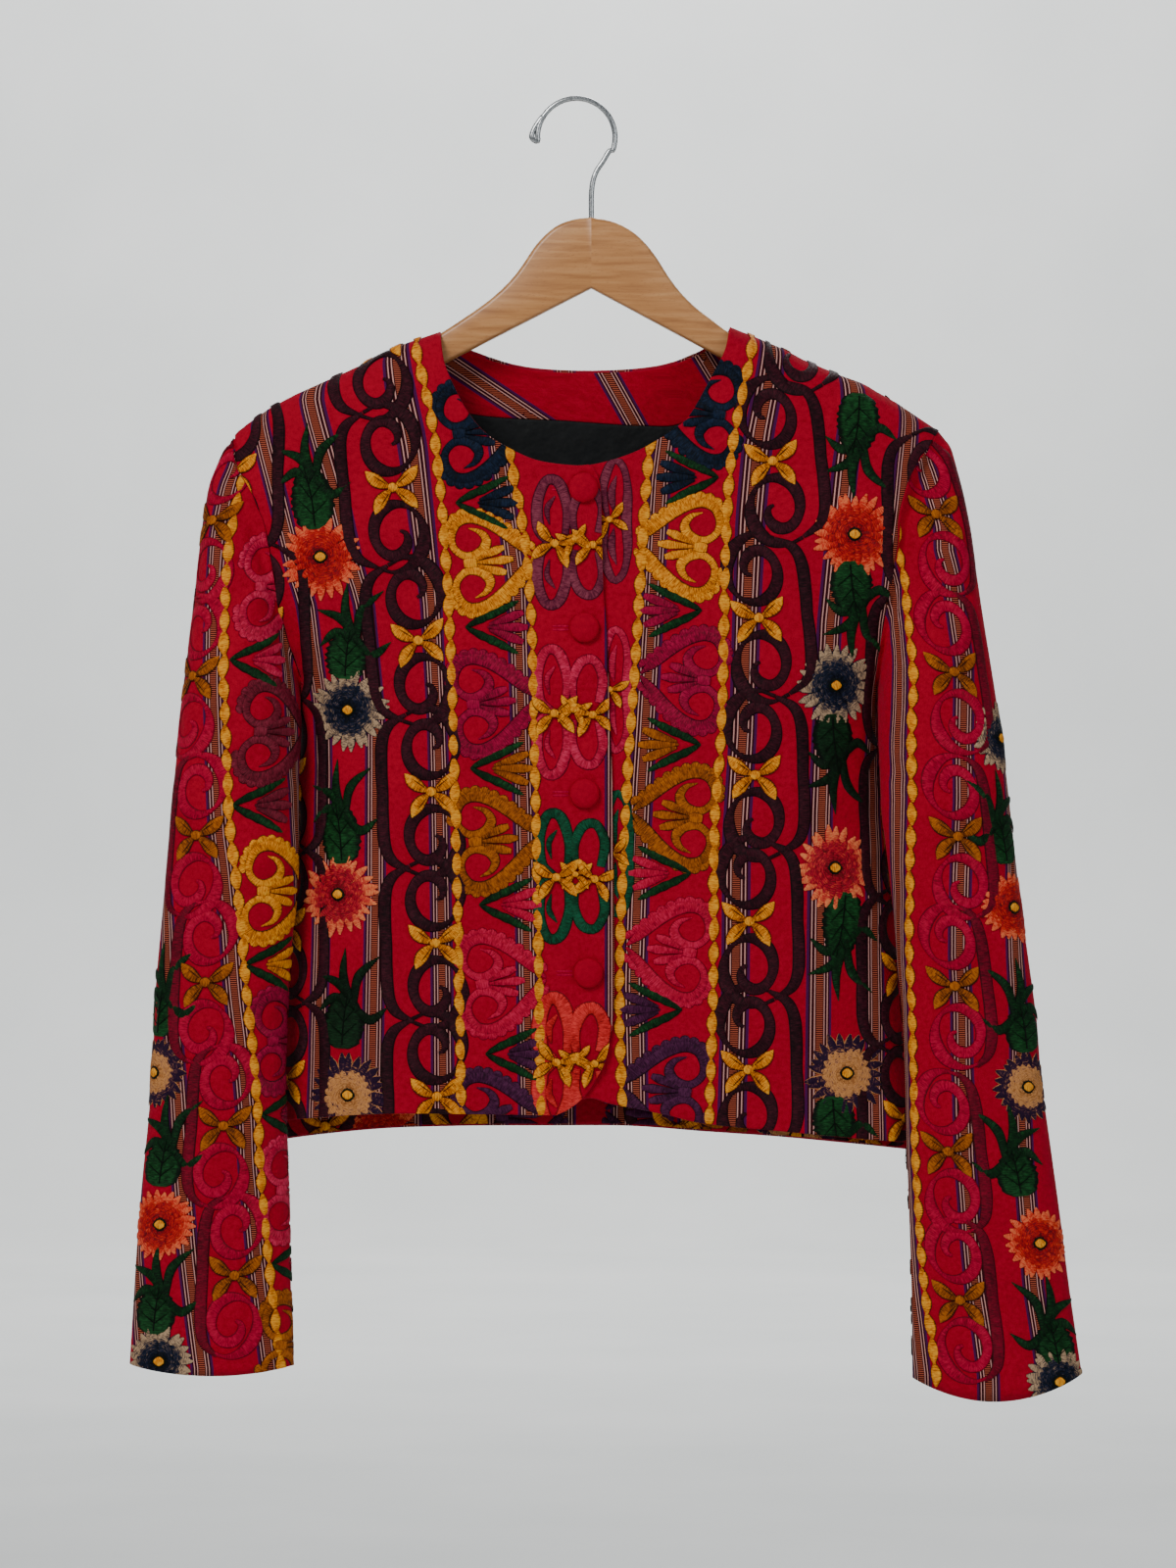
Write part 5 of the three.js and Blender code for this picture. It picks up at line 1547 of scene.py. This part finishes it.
def wood_material(name, tilt):
    """Pale beech: long grain, short dark flecks and a thin varnish."""
    material, tree, shader = start(name)
    place = add(tree, "ShaderNodeTexCoord").outputs["Object"]
    turned = add(tree, "ShaderNodeMapping", {"Vector": place, "Rotation": (0, tilt, 0),
                                              "Scale": (18, 240, 240)})
    grain = add(tree, "ShaderNodeTexNoise", {"Vector": turned.outputs[0], "Scale": 1.2, "Detail": 5.0,
                                              "Roughness": 0.6, "Distortion": 0.4})
    flecks_at = add(tree, "ShaderNodeMapping", {"Vector": place, "Rotation": (0, tilt, 0),
                                                 "Scale": (210, 900, 1300)})
    flecks = add(tree, "ShaderNodeTexVoronoi", {"Vector": flecks_at.outputs[0], "Scale": 1.0})
    tone = ramp(tree, grain.outputs[0], [(0.25, colour("8f5a2c")), (0.5, colour("ac7440")),
                                         (0.75, colour("be8a56"))])
    spots = ramp(tree, flecks.outputs[0], [(0.10, (1, 1, 1, 1)), (0.22, (0, 0, 0, 1))])
    tone = mixed(tree, maths(tree, "MULTIPLY", spots, 0.55), tone, colour("7c4a22"))
    tree.links.new(tone, shader.inputs["Base Color"])
    shader.inputs["Roughness"].default_value = 0.42
    shader.inputs["Coat Weight"].default_value = 0.25
    shader.inputs["Coat Roughness"].default_value = 0.25
    bump = add(tree, "ShaderNodeBump", {"Height": grain.outputs[0], "Strength": 0.15, "Distance": 0.0006})
    tree.links.new(bump.outputs[0], shader.inputs["Normal"])
    return material


def wooden_arm(name, top, low, material):
    """One arm of the hanger: its outline filled, thickened and rounded over."""
    shape = np.vstack([even(curve(top, 3), 4), even(curve(low[:-1], 3), 4), [low[-1]]])
    if Outline(shape).turning() < 0:
        shape = shape[::-1]
    tangent = np.roll(shape, -1, axis=0) - np.roll(shape, 1, axis=0)
    tangent /= np.maximum(np.linalg.norm(tangent, axis=1), 1e-9)[:, None]
    inward = np.column_stack([-tangent[:, 1], tangent[:, 0]])
    at_joint = np.abs(shape[:, 0] - HANGER_MIDDLE) < 0.6
    inward[at_joint, 0] = 0
    rings = []
    for depth, trim in ARM_EDGE:
        moved = shape + inward * trim
        rings.append(np.column_stack([moved[:, 0], np.full(len(moved), depth), moved[:, 1]]))
    n = len(shape)
    points = np.vstack(rings)
    faces = skin(len(rings), n)
    for i, flip in ((0, False), (len(rings) - 1, True)):
        flat = [Vector(p) for p in points[i * n:(i + 1) * n, [0, 2]]]
        filled = delaunay_2d_cdt(flat, [], [list(range(n))], 1, 1e-5)
        for f in filled[2]:
            made = [i * n + filled[3][v][0] for v in f]
            faces.append(made[::-1] if flip else made)
    piece = new_object(name, points, faces, [material])
    bpy.context.view_layer.objects.active = piece
    piece.select_set(True)
    bpy.ops.object.mode_set(mode="EDIT")
    bpy.ops.mesh.select_all(action="SELECT")
    bpy.ops.mesh.normals_make_consistent(inside=False)
    bpy.ops.object.mode_set(mode="OBJECT")
    bpy.ops.object.shade_smooth_by_angle(angle=math.radians(40))
    piece.select_set(False)
    return piece


right_arm = wooden_arm("hanger_arm_left", ARM_TOP_RIGHT, ARM_LOW_RIGHT, wood_material("beech left", 0.55))
left_arm = wooden_arm("hanger_arm_right", ARM_TOP_LEFT, ARM_LOW_LEFT, wood_material("beech right", -0.55))
for piece in (right_arm, left_arm):
    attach(piece, "root")
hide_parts("hanger_wood")

HOOK_R, HOOK_Z, WIRE_R = 24.5, -22.8, 1.7
HOOK_FROM, HOOK_TO, HOOK_STEPS = 186, -20, 26  # degrees where the round part begins and ends
WIRE_SIDES = 16
HOOK_TIP = [(-21.2, -9.6), (-24.6, -14.2), (-27.3, -19), (-28.2, -22.8), (-26.4, -24.9)]
HOOK_STEM = [
    (21, -31.5), (17, -38), (12.9, -44.2), (10.6, -50.5), (9.6, -58), (HANGER_MIDDLE, -70),
    (HANGER_MIDDLE, -84),
]


def wire_material():
    material, tree, shader = start("hook wire")
    place = add(tree, "ShaderNodeTexCoord").outputs["Object"]
    drawn = add(tree, "ShaderNodeTexNoise", {"Vector": place, "Scale": 900.0, "Detail": 3.0})
    tone = ramp(tree, drawn.outputs[0], [(0.3, colour("8c8f92")), (0.7, colour("c2c4c6"))])
    tree.links.new(tone, shader.inputs["Base Color"])
    shader.inputs["Metallic"].default_value = 1.0
    rough = maths(tree, "MULTIPLY_ADD", drawn.outputs[0], 0.2, 0.18)
    tree.links.new(rough, shader.inputs["Roughness"])
    return material


def wire():
    path = list(HOOK_TIP)
    for k in range(HOOK_STEPS + 1):
        turn = math.radians(HOOK_FROM + (HOOK_TO - HOOK_FROM) * k / HOOK_STEPS)
        path.append((HOOK_R * math.cos(turn), HOOK_Z + HOOK_R * math.sin(turn)))
    path += HOOK_STEM
    line = curve(path, 1.2)
    tangent = np.gradient(line, axis=0)
    tangent /= np.linalg.norm(tangent, axis=1)[:, None]
    side = np.column_stack([-tangent[:, 1], tangent[:, 0]])
    n, points = WIRE_SIDES, []
    for centre, out in zip(line, side):
        for k in range(n):
            turn = 2 * math.pi * k / n
            spot = centre + out * WIRE_R * math.cos(turn)
            points.append((spot[0], WIRE_R * math.sin(turn), spot[1]))
    faces = skin(len(line), n)
    faces += [tuple(range(n))[::-1], tuple(range((len(line) - 1) * n, len(line) * n))]
    return new_object("hook_wire", points, faces, [wire_material()])


hook = wire()
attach(hook, "root")
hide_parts("hanger_hook")


# ---- floor, light and camera ----------------------------------------------

def stage_material():
    material, tree, shader = start("pale studio")
    place = add(tree, "ShaderNodeTexCoord").outputs["Object"]
    soft = add(tree, "ShaderNodeTexNoise", {"Vector": place, "Scale": 3.0, "Detail": 4.0})
    tone = ramp(tree, soft.outputs[0], [(0.3, colour("dcdedd")), (0.7, colour("e4e5e4"))])
    tree.links.new(tone, shader.inputs["Base Color"])
    shader.inputs["Roughness"].default_value = 0.9
    return material


FLOOR_Z, WALL_TOP, BEND_Y, BEND_R, FLOOR_REACH = -1250, 9000, 6100, 900, 14000


def backdrop():
    """A floor that curves up into a wall far behind."""
    profile = [(-FLOOR_REACH, FLOOR_Z), (BEND_Y, FLOOR_Z)]
    for k in range(1, 13):
        turn = k / 12 * math.pi / 2
        profile.append((BEND_Y + BEND_R * math.sin(turn), FLOOR_Z + BEND_R * (1 - math.cos(turn))))
    profile.append((BEND_Y + BEND_R, WALL_TOP))
    points, faces = [], []
    for y, z in profile:
        points += [(-FLOOR_REACH, y, z), (FLOOR_REACH, y, z)]
    for k in range(len(profile) - 1):
        faces.append((2 * k, 2 * k + 1, 2 * k + 3, 2 * k + 2))
    made = new_object("studio_floor", points, faces, [stage_material()])


backdrop()


def area_light(name, place, aim, size, power, tint=(1, 1, 1)):
    data = bpy.data.lights.new(name, "AREA")
    data.shape, data.size, data.energy, data.color = "DISK", size, power, tint
    lamp = bpy.data.objects.new(name, data)
    lamp.location = place
    lamp.rotation_euler = (Vector(aim) - Vector(place)).to_track_quat("-Z", "Y").to_euler()
    bpy.context.scene.collection.objects.link(lamp)


area_light("key light", (-1.3, -2.0, 1.3), (0, 0, -0.4), 1.2, 62, (1.0, 0.98, 0.95))
area_light("fill light", (1.8, -2.0, 0.3), (0, 0, -0.4), 1.6, 16, (0.95, 0.98, 1.0))
area_light("back light", (0.6, 1.9, 1.5), (0, 0, -0.4), 1.4, 40)
area_light("wall light", (0.0, 4.4, 2.4), (0, 6.9, -0.2), 2.6, 190)
world = bpy.data.worlds.new("studio")
bpy.context.scene.world = world
world.use_nodes = True
world.node_tree.nodes["Background"].inputs[0].default_value = (0.80, 0.84, 0.86, 1)
world.node_tree.nodes["Background"].inputs[1].default_value = 0.42

CAMERA_AWAY = 3.4
VIEW_TALL = 0.992
SENSOR = 36
camera_data = bpy.data.cameras.new("camera")
camera_data.sensor_fit = "VERTICAL"
camera_data.sensor_height = SENSOR
camera_data.lens = SENSOR * CAMERA_AWAY / VIEW_TALL
camera = bpy.data.objects.new("camera", camera_data)
camera.location = (0.0074, -CAMERA_AWAY, -0.432)
camera.rotation_euler = (math.pi / 2, 0, 0)
bpy.context.scene.collection.objects.link(camera)
bpy.context.scene.camera = camera
